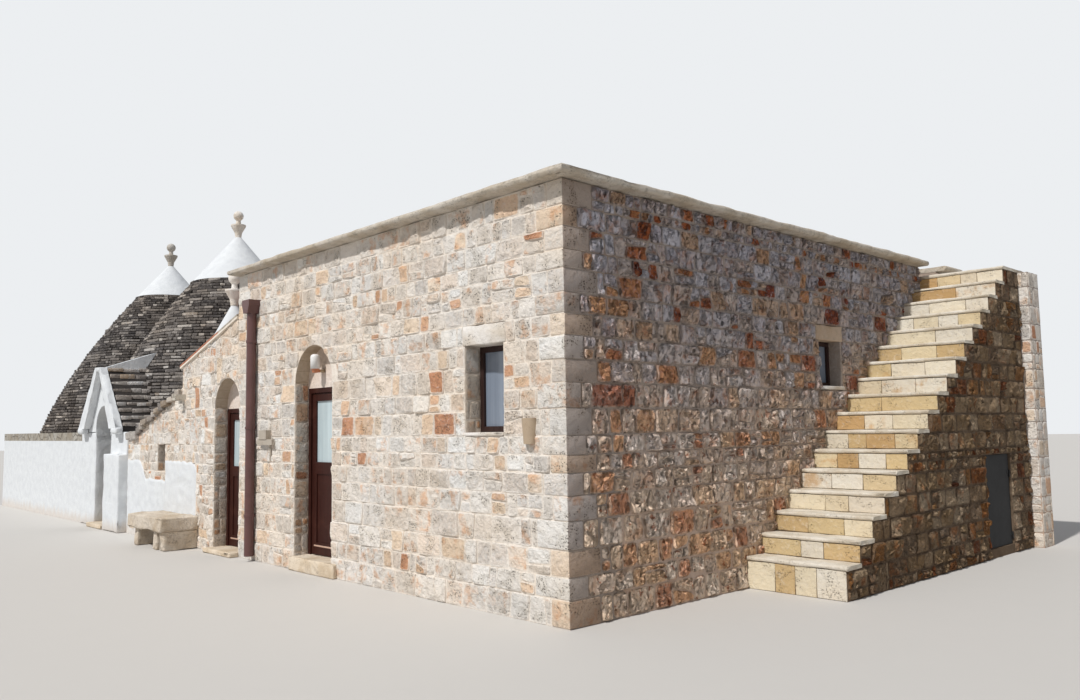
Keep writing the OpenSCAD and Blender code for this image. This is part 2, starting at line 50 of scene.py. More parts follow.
# The ground, the daylight and the viewer.
# The house stands in an open court: a pale floor takes its shadow, a high sun stands before its front, and the sky
# fills the rest. The camera stands on the court off the front right corner.
GROUND_R, GROUND_DROP = 90.0, 0.001
GROUND_COLOUR = (0.58, 0.558, 0.528)
SKY_FILL, BACKDROP = (0.302, 0.318, 0.348), (0.84, 0.86, 0.88)
SUN_FROM, SUN_STRENGTH, SUN_WIDTH = Vector((0.10, -1.0, 1.2)), 3.10, math.radians(2.0)
SUN_COLOUR = (1.0, 0.985, 0.962)
EYE_FROM_CORNER = Vector((4.812, -4.773, 1.519))
EYE_YAW, EYE_PITCH, EYE_ROLL = (math.radians(a) for a in (46.863, 4.955, -0.919))
EYE_LENS, EYE_REACH = 29.523, 400.0

corner = Vector((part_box("wall_right")[1].x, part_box("wall_front_right")[0].y, 0.0))


def spot(x, y, z):
    """A point given from the block's near corner: x along the facade, y into the house."""
    return corner + Vector((x, y, z))


def turned(angle, axis="Z"):
    """A turn about an axis."""
    return Matrix.Rotation(angle, 4, axis)


def in_scene(name, data):
    thing = bpy.data.objects.new(name, data)
    bpy.context.scene.collection.objects.link(thing)
    return thing


def mesh_of(bm, name, sharp=None):
    """A bmesh as a mesh, smooth but for the edges sharper than an angle in degrees."""
    mesh = bpy.data.meshes.new(name)
    bm.to_mesh(mesh)
    bm.free()
    mesh.shade_smooth()
    if sharp:
        mesh.set_sharp_from_angle(angle=math.radians(sharp))
    return mesh


eye_data = bpy.data.cameras.new("eye")
eye_data.lens, eye_data.clip_end = EYE_LENS, EYE_REACH
eye = in_scene("eye", eye_data)
eye.matrix_world = (Matrix.Translation(corner + EYE_FROM_CORNER) @ turned(EYE_YAW)
                    @ turned(math.pi / 2 + EYE_PITCH, "X") @ turned(EYE_ROLL))
bpy.context.scene.camera = eye
bpy.context.scene.view_settings.view_transform = "Standard"

sun_data = bpy.data.lights.new("high_light", "SUN")
sun_data.energy, sun_data.angle, sun_data.color = SUN_STRENGTH, SUN_WIDTH, SUN_COLOUR
sun = in_scene("high_light", sun_data)
sun.rotation_euler = (-SUN_FROM).to_track_quat("-Z", "Y").to_euler()


def linear(seen):
    """The shader's own values of a colour given as it looks, in hexadecimal."""
    return tuple(c / 12.92 if c <= 0.04045 else ((c + 0.055) / 1.055) ** 2.4 for c in
                 (part / 255.0 for part in bytes.fromhex(seen)))


class Socket:
    """An output of a shader node. Sums written on it add Math nodes."""

    def __init__(self, maker, out):
        self.maker, self.out = maker, out

    def sum(self, operation, other=0.0):
        return self.maker.node("Math", {"operation": operation}, {0: self, 1: other})

    __add__, __sub__, __mul__, __gt__, __lt__ = (
        lambda self, other, operation=operation: self.sum(operation, other)
        for operation in ("ADD", "SUBTRACT", "MULTIPLY", "GREATER_THAN", "LESS_THAN"))
    __radd__, __rmul__ = __add__, __mul__

    def __rsub__(self, other):
        return self.maker.node("Math", {"operation": "SUBTRACT"}, {0: other, 1: self})

    def beside(self, out):
        """Another output of the same node."""
        return Socket(self.maker, self.out.node.outputs[out])

    def between(self, low, high):
        """0 below low, 1 above high, and smooth in between."""
        return self.maker.node("MapRange", {"interpolation_type": "SMOOTHSTEP"},
                               {"Value": self, "From Min": low, "From Max": high})


class Nodes:
    """The nodes of the sky or of a material."""

    def __init__(self, tree):
        self.tree = tree

    def node(self, kind, settings=None, sockets=None, out=0):
        made = self.tree.nodes.new("ShaderNode" + kind)
        for key, value in (settings or {}).items():
            if key == "stops":
                stops = made.color_ramp.elements
                while len(stops) < len(value):
                    stops.new(0.5)
                for stop, (position, colour) in zip(stops, value):
                    stop.position, stop.color = position, (*colour, 1.0)
            else:
                setattr(made, key, value)
        for key, value in (sockets or {}).items():
            self.link(value, made.inputs[key])
        return Socket(self, made.outputs[out])

    def link(self, value, socket):
        if isinstance(value, Socket):
            self.tree.links.new(value.out, socket)
        elif socket.type == "RGBA":
            socket.default_value = (*(linear(value) if isinstance(value, str) else value), 1.0)
        else:
            socket.default_value = value


class Finish(Nodes):
    """A material, its nodes, and the tone its layers have reached."""

    def __init__(self, name, tone=None):
        self.material = bpy.data.materials.new(name)
        self.material.use_nodes = True
        super().__init__(self.material.node_tree)
        self.shader = self.tree.nodes["Principled BSDF"]
        self.place = self.node("TexCoord", out="Object")
        self.tone = tone

    def mix(self, factor, a, b, blend="MIX"):
        return self.node("Mix", {"data_type": "RGBA", "blend_type": blend}, {0: factor, 6: a, 7: b}, out=2)

    def paint(self, amount, colour):
        """Lays a colour over the tone."""
        self.tone = self.mix(amount, self.tone, colour)

    def tint(self, amount, colour, base=None):
        """Lays the tone, or a base, over the tone after multiplying it by a colour."""
        self.paint(amount, self.mix(1.0, base or self.tone, colour, "MULTIPLY"))

    def noise(self, scale, detail=4.0, rough=0.55, place=None):
        return self.node("TexNoise", None,
                         {"Vector": place or self.place, "Scale": scale, "Detail": detail, "Roughness": rough})

    def cells(self, scale, place=None, feature="F1", out="Distance", spread=1.0):
        return self.node("TexVoronoi", {"feature": feature},
                         {"Vector": place or self.place, "Scale": scale, "Randomness": spread}, out=out)

    def vectors(self, operation, a, b, out=0):
        return self.node("VectorMath", {"operation": operation}, {0: a or self.place, 1: b}, out=out)

    def facets(self, scale, place):
        """Flat chips of a struck stone, each tilted its own way."""
        tilt = self.cells(scale, place, out="Color")
        away = self.vectors("SUBTRACT", place, tilt.beside("Position"))
        return self.vectors("DOT_PRODUCT", away, self.vectors("SUBTRACT", tilt, (0.5, 0.5, 0.5)), "Value") * scale

    def moved(self, amount, place=None):
        """The place, moved by an amount along all three axes."""
        return self.vectors("ADD", place, amount)

    def stretched(self, scale, place=None):
        return self.vectors("MULTIPLY", place, scale)

    def axis(self, which):
        return self.node("SeparateXYZ", None, {0: self.place}, out=which)

    def bump(self, *layers):
        """Adds layers of (height, depth in metres), the coarsest first, and feeds the shader's normal."""
        normal = None
        for height, depth in layers:
            sockets = {"Height": height, "Distance": depth}
            if normal:
                sockets["Normal"] = normal
            normal = self.node("Bump", None, sockets)
        self.link(normal, self.shader.inputs["Normal"])

    def done(self, rough, **fixed):
        self.link(self.tone, self.shader.inputs["Base Color"])
        self.link(rough, self.shader.inputs["Roughness"])
        for key, value in fixed.items():
            self.shader.inputs[key.replace("_", " ")].default_value = value
        return self.material


def court_finish():
    f = Finish("court", GROUND_COLOUR)
    grain = f.noise(3.0, 6.0)
    f.paint(grain * 0.25, tuple(c * 0.93 for c in GROUND_COLOUR))
    f.bump((grain, 0.002))
    return f.done(0.9)


bm = bmesh.new()
bmesh.ops.create_circle(bm, cap_ends=True, segments=96, radius=GROUND_R)
bmesh.ops.recalc_face_normals(bm, faces=bm.faces)
court = in_scene("court", mesh_of(bm, "court"))
court.location.z = -GROUND_DROP
court.data.materials.append(court_finish())

world = bpy.data.worlds.new("sky")
bpy.context.scene.world = world
world.use_nodes = True
sky = Nodes(world.node_tree)
sky.tree.nodes.clear()
eye_ray = sky.node("LightPath", out="Is Camera Ray")
other_ray = eye_ray.beside("Is Glossy Ray").sum("MAXIMUM", eye_ray.beside("Is Transmission Ray"))
fill, backdrop = (sky.node("Background", None, {"Color": colour}) for colour in (SKY_FILL, BACKDROP))
either = sky.node("MixShader", None, {0: eye_ray.sum("MAXIMUM", other_ray), 1: fill, 2: backdrop})
sky.link(either, sky.tree.nodes.new("ShaderNodeOutputWorld").inputs["Surface"])


def size(node):
    """The least and greatest corner of a node, from the block's near corner."""
    low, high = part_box(node)
    return low - corner, high - corner


def facing(turns):
    """Places sheets on the walls of one side: u is x in front, y at the right, -x behind and -y at the left."""
    return lambda x=0.0, y=0.0: Matrix.Translation(spot(x, y, 0)) @ turned(turns * math.pi / 2)


on_front, on_right, on_back, on_left = (facing(turns) for turns in (0, 1, 2, -1))


def finish_node(material, *names):
    """Gives nodes of the frame their finish."""
    for name in names:
        slots = nodes[name].data.materials
        slots.clear()
        slots.append(material)


def add_piece(name, mesh, material, body=HOUSE):
    """Puts a finished mesh in the scene, on its body."""
    mesh.materials.append(material)
    piece = in_scene(name, mesh)
    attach(piece, body)
    return piece


def rounded(bm, edges, offset, segments):
    bmesh.ops.bevel(bm, geom=edges, offset=offset, offset_type="OFFSET", segments=segments, profile=0.5, material=-1,
                    affect="EDGES")


# The rubble walls.
# Roughly squared limestone, cream and grey with rust stained stones between, laid in rough courses and pointed
# almost flush with a sandy lime mortar. The mortar is the wall's own face, and the stones stand proud of it.
def scale_of(*rows):
    """A scale of tones: each row is a place from 0 to 1 and a colour."""
    return [(at, linear(colour)) for at, colour in rows]


CREAM_TONES = scale_of((0.00, "fcfbf8"), (0.16, "f8f3ec"), (0.34, "f9f0e5"), (0.48, "eeebe7"), (0.62, "faecde"),
                       (0.74, "f8e4cc"), (0.87, "f2cfb0"), (1.00, "d49876"))
SHADE_TONES = scale_of((0.00, "fcf8f5"), (0.16, "eae7e8"), (0.34, "f6e4d0"), (0.48, "e0dbde"), (0.62, "f6d6b2"),
                       (0.74, "eaae76"), (0.86, "d67e4a"), (1.00, "a04a2c"))
BROWN_TONES = scale_of((0.00, "ac9a84"), (0.30, "927a5c"), (0.55, "7a6a5a"), (0.75, "90683e"), (0.88, "7a4a2a"),
                       (1.00, "5c321e"))
PAINTED_PIT_SHADE, PALE_MORTAR, GREY_MORTAR = "70655a", "f5eee5", "aa9f97"
DULL = {"Specular_IOR_Level": 0.2}


def warm_patches(f):
    """Wide patches in which a wall turns a little warmer."""
    f.tint(f.noise(0.9, 3.0, 0.5).between(0.42, 0.66) * 0.7, "fff7ed")


def stone_finish(name, tones=CREAM_TONES, stain=0.5, pits=0.8, rough_face=0.030, dust_and_sheen="f6f3ee",
                 stain_colour="eebe96", smear=PALE_MORTAR, smeared=0.8, chips=0.02, glints=0.0,
                 iron_stains_and_painted_light=False, painted_shade_round_corner=False):
    """Limestone that takes its tone, shade and pattern from each stone's own mark, with mortar smeared on its rim."""
    f = Finish(name)
    mark = f.node("Attribute", {"attribute_name": "stone"}, out="Color")
    rim = mark.beside("Alpha")
    hue = f.node("SeparateColor", None, {0: mark})
    shade, shift = hue.beside(1), hue.beside(2)
    place = f.moved(f.node("CombineXYZ", None, {0: shift * 37.0, 1: shift * 19.0, 2: shift * 53.0}))
    cloud = f.noise(7.0, 5.0, 0.6, place)
    drift = f.noise(22.0, 6.0, 0.68, place)
    grain = f.noise(110.0, 3.0, 0.65, place)
    f.tone = f.node("ValToRGB", {"stops": tones}, {0: hue + (drift - 0.5) * 0.34})
    f.paint(cloud.between(0.48, 0.68) * (shift > 1.0 - stain) * 0.75, stain_colour)
    f.tint(shade * 0.8, "dedad6")
    # Light patches of dust. On the right and back walls their near white is also a painted highlight.
    f.paint(drift.between(0.50, 0.72) * 0.45, dust_and_sheen)
    hollow = f.cells(52.0, f.moved(drift * 0.03, place))
    where = f.noise(6.0, 4.0, 0.6, place).between(0.50, 0.60)
    pit = (1.0 - hollow.between(0.14, 0.42)) * where
    f.tint(where * pits * 0.35, "d6d0c4")
    # Painted shade: the pits' hollows are darkened.
    f.paint(pit * pits, PAINTED_PIT_SHADE)
    f.tint(grain.between(0.55, 0.75) * 0.30, "b0a496")
    f.paint((rim + (drift - 0.5) * 0.9).between(0.30, 0.75) * smeared, smear)
    # Real iron spots, fewer higher up. Painted light: the stones turn lighter and warmer towards the foot as painted
    # bounce light, and greyer and darker higher up as painted shade.
    if iron_stains_and_painted_light:
        rising = (f.axis(2) + (cloud - 0.5) * 1.4).between(0.2, 3.2)
        f.paint((1.0 - rising) * 0.35, "fce8d5")
        iron = f.noise(13.0, 5.0, 0.6, f.moved(shift * 7.0, place)).between(0.60, 0.66)
        f.paint(iron * (1.0 - rising * 0.6) * 0.8, "a8623e")
        f.tint(1.0, f.mix(rising, "fff4e6", "d6d7e2"))
    else:
        warm_patches(f)
    # Painted shade: the corner blocks' faces round the corner, on the right wall's side, are darkened.
    if painted_shade_round_corner:
        f.tint(f.axis(0) > corner.x + 0.003, "c4bcba")
    layers = [(cloud, rough_face), (f.facets(16.0, place), chips), (drift, rough_face * 1.2), (1.0 - pit, 0.007),
              (grain, 0.002)]
    if glints:
        streaks = f.stretched((1.0, 1.0, 0.55), place)
        layers.insert(2, (f.facets(38.0, f.moved(drift * 0.05, streaks)), glints))
    f.bump(*layers)
    return f.done(0.9, **DULL)


def mortar_finish(name, colour, other=None, where=None):
    """A sandy lime mortar, floated by hand. where gives the part of a wall that has the other colour."""
    f = Finish(name)
    if where:
        colour = f.mix(where(f), colour, other(f) if callable(other) else other)
    f.tone = colour
    sand = f.noise(150.0, 3.0, 0.7)
    lump = f.noise(26.0, 5.0, 0.62)
    f.tint(f.noise(2.2, 6.0, 0.6).between(0.35, 0.7), "eee9e4")
    warm_patches(f)
    f.tint(lump.between(0.62, 0.40) * 0.25, "cdc3b7", colour)
    f.tint(sand.between(0.5, 0.75) * 0.25, "c4b6a4", colour)
    f.bump((lump, 0.014), (sand, 0.002))
    return f.done(0.95, Specular_IOR_Level=0.15)


# How a wall's stones are laid, in metres and in shares from 0 to 1. wide is a stone's length in heights of its
# course, step the length of an edge's parts, and tall the number of two-course stones in a metre.
Style = namedtuple("Style", "low high wide joint relief bulge rough rust jitter lean rounding sway tall chip step",
                   defaults=(0.0, 0.0, 0.0, 0.045))
# The shortest cut; length, distance, greatest height and last place of two-course stones; the least breadth and area
# of a stone and its bed in the mortar; the rim and the rings of a round and of a chipped face, as shares.
SHORTEST, TALL_LONG, TALL_APART, TALL_HIGH, TALL_END = 0.05, (0.13, 0.30), 0.08, 0.36, 0.35
THIN, SMALL, BED = 0.045, 0.0032, 0.008
RIM, ROUND_FACE, CHIPPED_FACE = 0.007, (0.34,), (0.20, 0.42)


def stone_tint(rng, rust):
    """Tone, shade and pattern of one stone; rust is the share of stained stones."""
    pick = rng.random()
    span = (0.86, 1.0) if pick < rust else (0.68, 0.86) if pick < rust * 2.8 else (0.0, 0.66)
    return (rng.uniform(*span), rng.random(), rng.random(), 1.0)


def cut(bm, geom, point, normal):
    """Cuts the given faces along a line and returns all their parts."""
    return bmesh.ops.bisect_plane(bm, geom=geom, dist=1e-5, plane_co=point, plane_no=normal)["geom"]


def around(faces):
    """The faces with their edges and corners, as the operators want them."""
    return list(faces) + list({e for f in faces for e in f.edges}) + list({v for f in faces for v in f.verts})


def spread(face):
    """Centre, width and height of a face that lies in a sheet."""
    us, vs = [v.co.x for v in face.verts], [v.co.z for v in face.verts]
    return Vector(((min(us) + max(us)) / 2, 0, (min(vs) + max(vs)) / 2)), max(us) - min(us), max(vs) - min(vs)


def hole_levels(holes, top):
    """The levels at which holes begin or end, without those that lie close above another."""
    levels = [0.0]
    for v in sorted({round(v, 4) for hole in holes for v in hole[2:]}):
        if levels[-1] + SHORTEST < v < top - SHORTEST:
            levels.append(v)
    return levels[1:]


def cut_courses(bm, style, holes, keep, rng):
    """Cuts a flat sheet into courses and stones, with joints along the holes' sides and the levels to keep."""
    us, vs = [v.co.x for v in bm.verts], [v.co.z for v in bm.verts]
    left, right, top = min(us), max(us), max(vs)
    lines = [0.0]
    for stop in keep + [top]:
        start = lines[-1]
        count = max(1, round((stop - start) * 2 / (style.low + style.high)))
        weights = [rng.uniform(style.low, style.high) for _ in range(count)]
        for n in range(count):
            lines.append(start + sum(weights[:n + 1]) * (stop - start) / sum(weights))
    for level in lines[1:-1]:
        tilt = 0.0 if round(level, 4) in keep else rng.uniform(-0.005, 0.005)
        cut(bm, around(bm.faces), Vector(((left + right) / 2, 0, level)), Vector((tilt, 0, 1)))
    rows = [[] for _ in lines[1:]]
    for face in bm.faces:
        centre = face.calc_center_median().z
        rows[sum(1 for level in lines[1:-1] if level < centre)].append(face)
    middles = [(a + b) / 2 for a, b in zip(lines, lines[1:])]
    stops = [sorted({u for u0, u1, v0, v1 in holes if v0 < middle < v1 for u in (u0, u1)}) for middle in middles]
    tall = [[] for _ in rows]
    for row in range(len(rows) - 1):
        at = left + rng.uniform(0.1, 1.2)
        while style.tall and at < right - TALL_END and round(lines[row + 1], 4) not in keep:
            end = at + rng.uniform(*TALL_LONG)
            if (lines[row + 2] - lines[row] < TALL_HIGH
                    and not any(at - TALL_APART < stop < end + TALL_APART for stop in stops[row] + stops[row + 1])
                    and not any(a < end + TALL_APART and at - TALL_APART < b for a, b in tall[row])):
                tall[row].append((at, end))
                tall[row + 1].append((at, end))
            at = end + rng.uniform(0.3, 2.0) / style.tall
    for row, faces in enumerate(rows):
        if not faces:
            continue
        height = lines[row + 1] - lines[row]
        geom = around(faces)
        for stop in stops[row] + [u for pair in tall[row] for u in pair]:
            geom = cut(bm, geom, Vector((stop, 0, 0)), Vector((1, 0, 0)))
        at = left + rng.uniform(0.3, 1.0) * height * style.wide[1]
        while at < right - SHORTEST:
            if (all(abs(at - stop) > SHORTEST for stop in stops[row])
                    and all(at < a - 0.04 or at > b + 0.04 for a, b in tall[row])):
                geom = cut(bm, geom, Vector((at, 0, middles[row])), Vector((1, 0, rng.uniform(-0.15, 0.15))))
            at += height * rng.uniform(*style.wide)
        for face in [g for g in geom if isinstance(g, bmesh.types.BMFace)]:
            centre, width, deep = spread(face)
            if deep > 0.13 and width < 0.32 and rng.random() < 0.2 and not any(a < centre.x < b for a, b in tall[row]):
                level = lines[row] + height * rng.uniform(0.35, 0.65)
                cut(bm, around([face]), Vector((centre.x, 0, level)), Vector((rng.uniform(-0.12, 0.12), 0, 1)))
    for row in range(len(rows) - 1):
        for a, b in set(tall[row]) & set(tall[row + 1]):
            pair = [f for f in bm.faces if a < f.calc_center_median().x < b
                    and lines[row] - 0.02 < f.calc_center_median().z < lines[row + 2] + 0.02]
            if len(pair) == 2:
                bmesh.ops.dissolve_faces(bm, faces=pair)


def wave(x, y, z):
    """Smooth noise from -1 to 1 at a point."""
    return noise.noise(Vector((x, y, z)))


def lay_stones(name, outline, place, material, style, holes=(), arches=(), seed=1):
    """Lays stones over a flat outline given as (u, v) points, u to the right and v up, seen from outside.

    holes are (u0, u1, v0, v1) and arches (u, v, r) half circles over a hole. place puts the sheet on its wall.
    """
    rng = random.Random(seed)
    bm = bmesh.new()
    bm.faces.new([bm.verts.new((u, 0.0, v)) for u, v in outline])
    top = max(v for _, v in outline)
    keep = hole_levels(holes, top)
    levels = [-1.0, 0.0, *keep, top]
    holes = [(u0, u1, *(9.0 if v > top - SHORTEST else min(levels, key=lambda level: abs(level - v))
                        for v in (v0, v1))) for u0, u1, v0, v1 in holes]
    cut_courses(bm, style, holes, keep, rng)
    fixed_u = {round(u, 4) for hole in holes for u in hole[:2]}
    fixed_v = {round(v, 4) for hole in holes for v in hole[2:]}
    sides = sorted(fixed_u | {min(u for u, _ in outline), max(u for u, _ in outline)})
    for vert in bm.verts:
        u, v = vert.co.x, vert.co.z
        near = min([abs(v - level) for level in levels] + [abs(u - side) for side in sides])
        if not vert.is_boundary and near > 0.001:
            sway = style.sway * min(1.0, near / 0.25)
            vert.co.z += sway * wave(u * 1.1, v * 1.6, seed)
            vert.co.x += sway * 0.8 * wave(u * 1.7, v * 2.3, seed + 0.5)
    for vert in bm.verts:
        if not vert.is_boundary and round(vert.co.x, 4) not in fixed_u and round(vert.co.z, 4) not in fixed_v:
            vert.co.x += rng.uniform(-style.jitter, style.jitter)
            vert.co.z += rng.uniform(-style.jitter, style.jitter) * 0.9
    gone = []
    for face in bm.faces:
        c = face.calc_center_median()
        if (any(u0 < c.x < u1 and v0 < c.z < v1 for u0, u1, v0, v1 in holes)
                or any(c.z > v - 0.02 and math.hypot(c.x - u, c.z - v) < r * 0.93 for u, v, r in arches)):
            gone.append(face)
    bmesh.ops.delete(bm, geom=gone, context="FACES")
    bmesh.ops.split_edges(bm, edges=[e for e in bm.edges if len(e.link_faces) > 1])
    for cuts in range(1, 16):
        long = [e for e in bm.edges if cuts <= e.calc_length() / style.step < cuts + 1]
        if long:
            bmesh.ops.bisect_edges(bm, edges=long, cuts=cuts)
    tint = bm.verts.layers.float_color.new("stone")
    thin = []
    for face in bm.faces:
        for u, v, r in arches:
            for vert in face.verts:
                away = math.hypot(vert.co.x - u, vert.co.z - v)
                if vert.co.z > v - 0.001 and 0 < away < r:
                    vert.co.x = u + (vert.co.x - u) * r / away
                    vert.co.z = v + (vert.co.z - v) * r / away
        centre, width, tall = spread(face)
        area = face.calc_area()
        if min(width, tall) < THIN or area < SMALL:
            thin.append(face)
            continue
        mark = stone_tint(rng, style.rust * (1.5 if area < 0.02 else 0.8))
        for vert in face.verts:
            vert[tint] = mark
            grow = style.joint * (1.0 + 0.9 * noise.noise(vert.co * 18 + Vector((mark[2] * 50, 0, 0))))
            vert.co.x = centre.x + (vert.co.x - centre.x) * (1 - 2 * grow / width)
            vert.co.z = centre.z + (vert.co.z - centre.z) * (1 - 2 * grow / tall)
            vert.co.y = BED
    bmesh.ops.delete(bm, geom=thin, context="FACES")
    bmesh.ops.smooth_vert(bm, verts=bm.verts, factor=style.rounding, use_axis_x=True, use_axis_z=True)
    faces = list(bm.faces)
    for inset in (0.0, RIM) + (CHIPPED_FACE if style.chip else ROUND_FACE):
        inner = inset > RIM
        made = bmesh.ops.extrude_face_region(bm, geom=faces)["geom"]
        bmesh.ops.delete(bm, geom=faces, context="FACES_ONLY")
        faces = [g for g in made if isinstance(g, bmesh.types.BMFace)]
        for face in faces:
            mark = face.verts[0][tint]
            proud = style.relief[0] + (style.relief[1] - style.relief[0]) * (mark[2] * 7 % 1) ** 2
            centre, width, tall = spread(face)
            pull_u, pull_v = (inset, inset) if inner else (inset * 2 / width, inset * 2 / tall)
            lean_u, lean_v = style.lean * (mark[1] * 2 - 1), style.lean * (mark[2] * 5 % 1 * 2 - 1)
            struck = style.chip * (1.3 if mark[1] * 13 % 1 > 0.4 else 0.3)
            for vert in face.verts:
                du, dv = vert.co.x - centre.x, vert.co.z - centre.z
                uneven = noise.noise(vert.co * 11 + Vector((mark[2] * 50, mark[1] * 50, inset * 3)))
                lift = style.bulge * (0.5 + mark[1]) + struck * rng.uniform(-1, 1) if inner else 0.0
                out = proud * (1.0 if inset else 0.5) + lift + style.rough * uneven * (1.6 if inset else 0.7)
                vert[tint][3] = 0.0 if inner else 0.75 if inset else 1.0
                if inset:
                    out = max(out + lean_u * du + lean_v * dv, 0.002)
                vert.co = Vector((centre.x + du * (1 - pull_u), -out, centre.z + dv * (1 - pull_v)))
    for middle in bmesh.ops.poke(bm, faces=faces)["verts"]:
        middle[tint] = middle.link_edges[0].other_vert(middle)[tint]
        middle[tint][3] = 0.0
        middle.co.y -= style.bulge * 0.4 + style.chip * rng.uniform(-0.7, 0.7)
    bmesh.ops.transform(bm, matrix=place, verts=bm.verts)
    return add_piece(name, mesh_of(bm, name, sharp=20 if style.chip else None), material)


class Blocks:
    """Rough blocks gathered in one mesh, each with its own mark."""

    def __init__(self, seed):
        self.rng = random.Random(seed)
        self.bm = bmesh.new()
        self.tint = self.bm.verts.layers.float_color.new("stone")

    def mark(self, hue):
        return (hue, self.rng.random(), self.rng.random(), 0.0)

    def add(self, centre, block, turn=Matrix(), mark=(0.3, 0.5, 0.5, 0.0), rough=0.0):
        matrix = Matrix.Translation(centre) @ turn @ Matrix.Diagonal((*block, 1.0))
        for vert in bmesh.ops.create_cube(self.bm, size=1.0, matrix=matrix)["verts"]:
            vert[self.tint] = mark
            vert.co += Vector([self.rng.uniform(-rough, rough) for _ in range(3)])

    def between(self, low, high, **more):
        low, high = spot(*low), spot(*high)
        self.add((low + high) / 2, high - low, **more)

    def piece(self, name, material, slot, bevel=0.006, segments=1, body=HOUSE):
        rounded(self.bm, list(self.bm.edges), bevel, segments)
        return add_piece(name, mesh_of(self.bm, name, sharp=40), material, body)


FACADE = Style(low=0.11, high=0.21, wide=(0.5, 1.9), joint=0.003, relief=(0.000, 0.016), bulge=0.002, rough=0.007,
               rust=0.045, jitter=0.022, lean=0.09, rounding=0.30, sway=0.09, tall=0.7, chip=0.002)
FLANK = Style(low=0.11, high=0.20, wide=(0.6, 1.8), joint=0.005, relief=(0.002, 0.018), bulge=0.006, rough=0.018,
              rust=0.070, jitter=0.020, lean=0.20, rounding=0.35, sway=0.08, tall=0.5, chip=0.012)
FOOT = Style(low=0.12, high=0.21, wide=(0.6, 1.6), joint=0.008, relief=(0.002, 0.014), bulge=0.005, rough=0.014,
             rust=0.075, jitter=0.034, lean=0.15, rounding=0.5, sway=0.08, tall=0.5, chip=0.011)
PLAIN = Style(low=0.13, high=0.22, wide=(0.7, 2.0), joint=0.006, relief=(0.003, 0.014), bulge=0.004, rough=0.007,
              rust=0.08, jitter=0.020, step=0.09, lean=0.07, rounding=0.3, sway=0.08, tall=0.4)
REVEAL = Style(low=0.16, high=0.26, wide=(0.6, 1.0), joint=0.004, relief=(0.002, 0.006), bulge=0.001, rough=0.002,
               rust=0.08, jitter=0.006, step=0.05, lean=0.0, rounding=0.3)

back_low, back_high = size("wall_back")
block_w, block_d, wall_h = -back_low.x, back_high.y, back_high.z
wing_x, wing_d = size("wing_wall_left")[0].x, size("wing_wall_back")[1].y
low_x = size("wall_low_front")[0].x
side_x, stair_y = size("stair_body")[1].x, size("stair_body")[0].y

PLASTER = "eaded5"
# The reveals' stones are the cream stones darkened: painted shade in the recesses.
PAINTED_REVEAL_SHADE = (0.74, 0.72, 0.70)
cream = stone_finish("cream_limestone")
# The right and back walls: painted bounce light towards the foot and painted shade higher up, over real iron spots.
# Their light dust patches are partly painted highlights.
shaded = stone_finish("brown_flecked_limestone", SHADE_TONES, stain=0.7, pits=0.5, rough_face=0.02, chips=0.03,
                      glints=0.055, dust_and_sheen="fcf6f0", stain_colour="d69c70", smear="cec0b2", smeared=0.6, iron_stains_and_painted_light=True)
# The corner blocks, with painted shade on their faces round the corner.
corner_stone = stone_finish("corner_limestone", chips=0.01, painted_shade_round_corner=True)
# The stair's outer side: earth stained stones whose dark tones also stand for painted shade.
brown = stone_finish("earth_stained_limestone_with_painted_shade", BROWN_TONES, stain=0.6, pits=0.4, chips=0.04, glints=0.012,
                     dust_and_sheen="b2a086", stain_colour="966036", smear="706050", smeared=0.7)
painted_shade_reveal = stone_finish("reveal_limestone_with_painted_shade",
                         [(at, tuple(c * dim for c, dim in zip(tone, PAINTED_REVEAL_SHADE))) for at, tone in CREAM_TONES],
                         pits=0.6, smear="cec2b4", dust_and_sheen="d8d0c6")
pale_mortar = mortar_finish("lime_mortar", PALE_MORTAR)
corner_mortar = mortar_finish("lime_mortar_at_the_corner", PALE_MORTAR, GREY_MORTAR,
                              lambda f: f.axis(0) > corner.x - 0.005)
# The right and back walls' mortar turns lighter and warmer towards the foot: painted bounce light.
grey_mortar = mortar_finish("grey_mortar_with_painted_foot_light", GREY_MORTAR, "d2bcac",
                            lambda f: (f.axis(2) + f.noise(0.8, 3.0)).between(2.6, 0.9))
# The stair's dark mortar is partly painted shade.
stair_mortar = mortar_finish("dark_mortar_with_painted_shade", "706050")
finish_node(pale_mortar, "wall_front_middle", "wall_wing_front", "wall_low_front", "wing_wall_left", "wing_wall_back",
            "wall_left")
finish_node(corner_mortar, "wall_front_right")
finish_node(grey_mortar, "wall_right", "wall_back", "end_pier")
finish_node(stair_mortar, "stair_body")

# Squared corner blocks, long and short by turns. The sheets that meet at the corner leave holes for them.
QUOIN_LEVELS = (0.0, 0.21, 0.38, 0.58, 0.80, 0.99, 1.16, 1.30, 1.45, 1.66, 1.86, 2.04, 2.224, 2.399, 2.56, 2.75, 2.90,
                3.08, 3.25, wall_h)
QUOIN_JOINT, QUOIN_TONES = 0.004, (0.0, 0.02, 0.1, 0.2, 0.4, 0.52, 0.7)
quoins = Blocks(5)
draw = quoins.rng.uniform
front_holes, right_holes = [], []
for n, (v0, v1) in enumerate(zip(QUOIN_LEVELS, QUOIN_LEVELS[1:])):
    long, short = draw(0.26, 0.38), draw(0.15, 0.21)
    along_x, along_y = (long, short) if n % 2 else (short, long)
    out = draw(0.006, 0.012)
    mark = (quoins.rng.choice(QUOIN_TONES), draw(0, 0.8), quoins.rng.random() * 0.7, 0.0)
    quoins.between((0.006 - along_x, -out, v0 + QUOIN_JOINT), (out, along_y - 0.006, v1 - QUOIN_JOINT), mark=mark,
                   rough=0.003)
    front_holes.append((-along_x, 0.1, v0, v1))
    right_holes.append((-0.1, along_y, v0, v1))
quoins.piece("near_corner_blocks", corner_stone, "cream_rubble", bevel=0.010, segments=2)


def sheet(u0, u1, top, foot=0.0):
    """The outline of a plain stretch of wall."""
    return [(u0, foot), (u1, foot), (u1, top), (u0, top)]


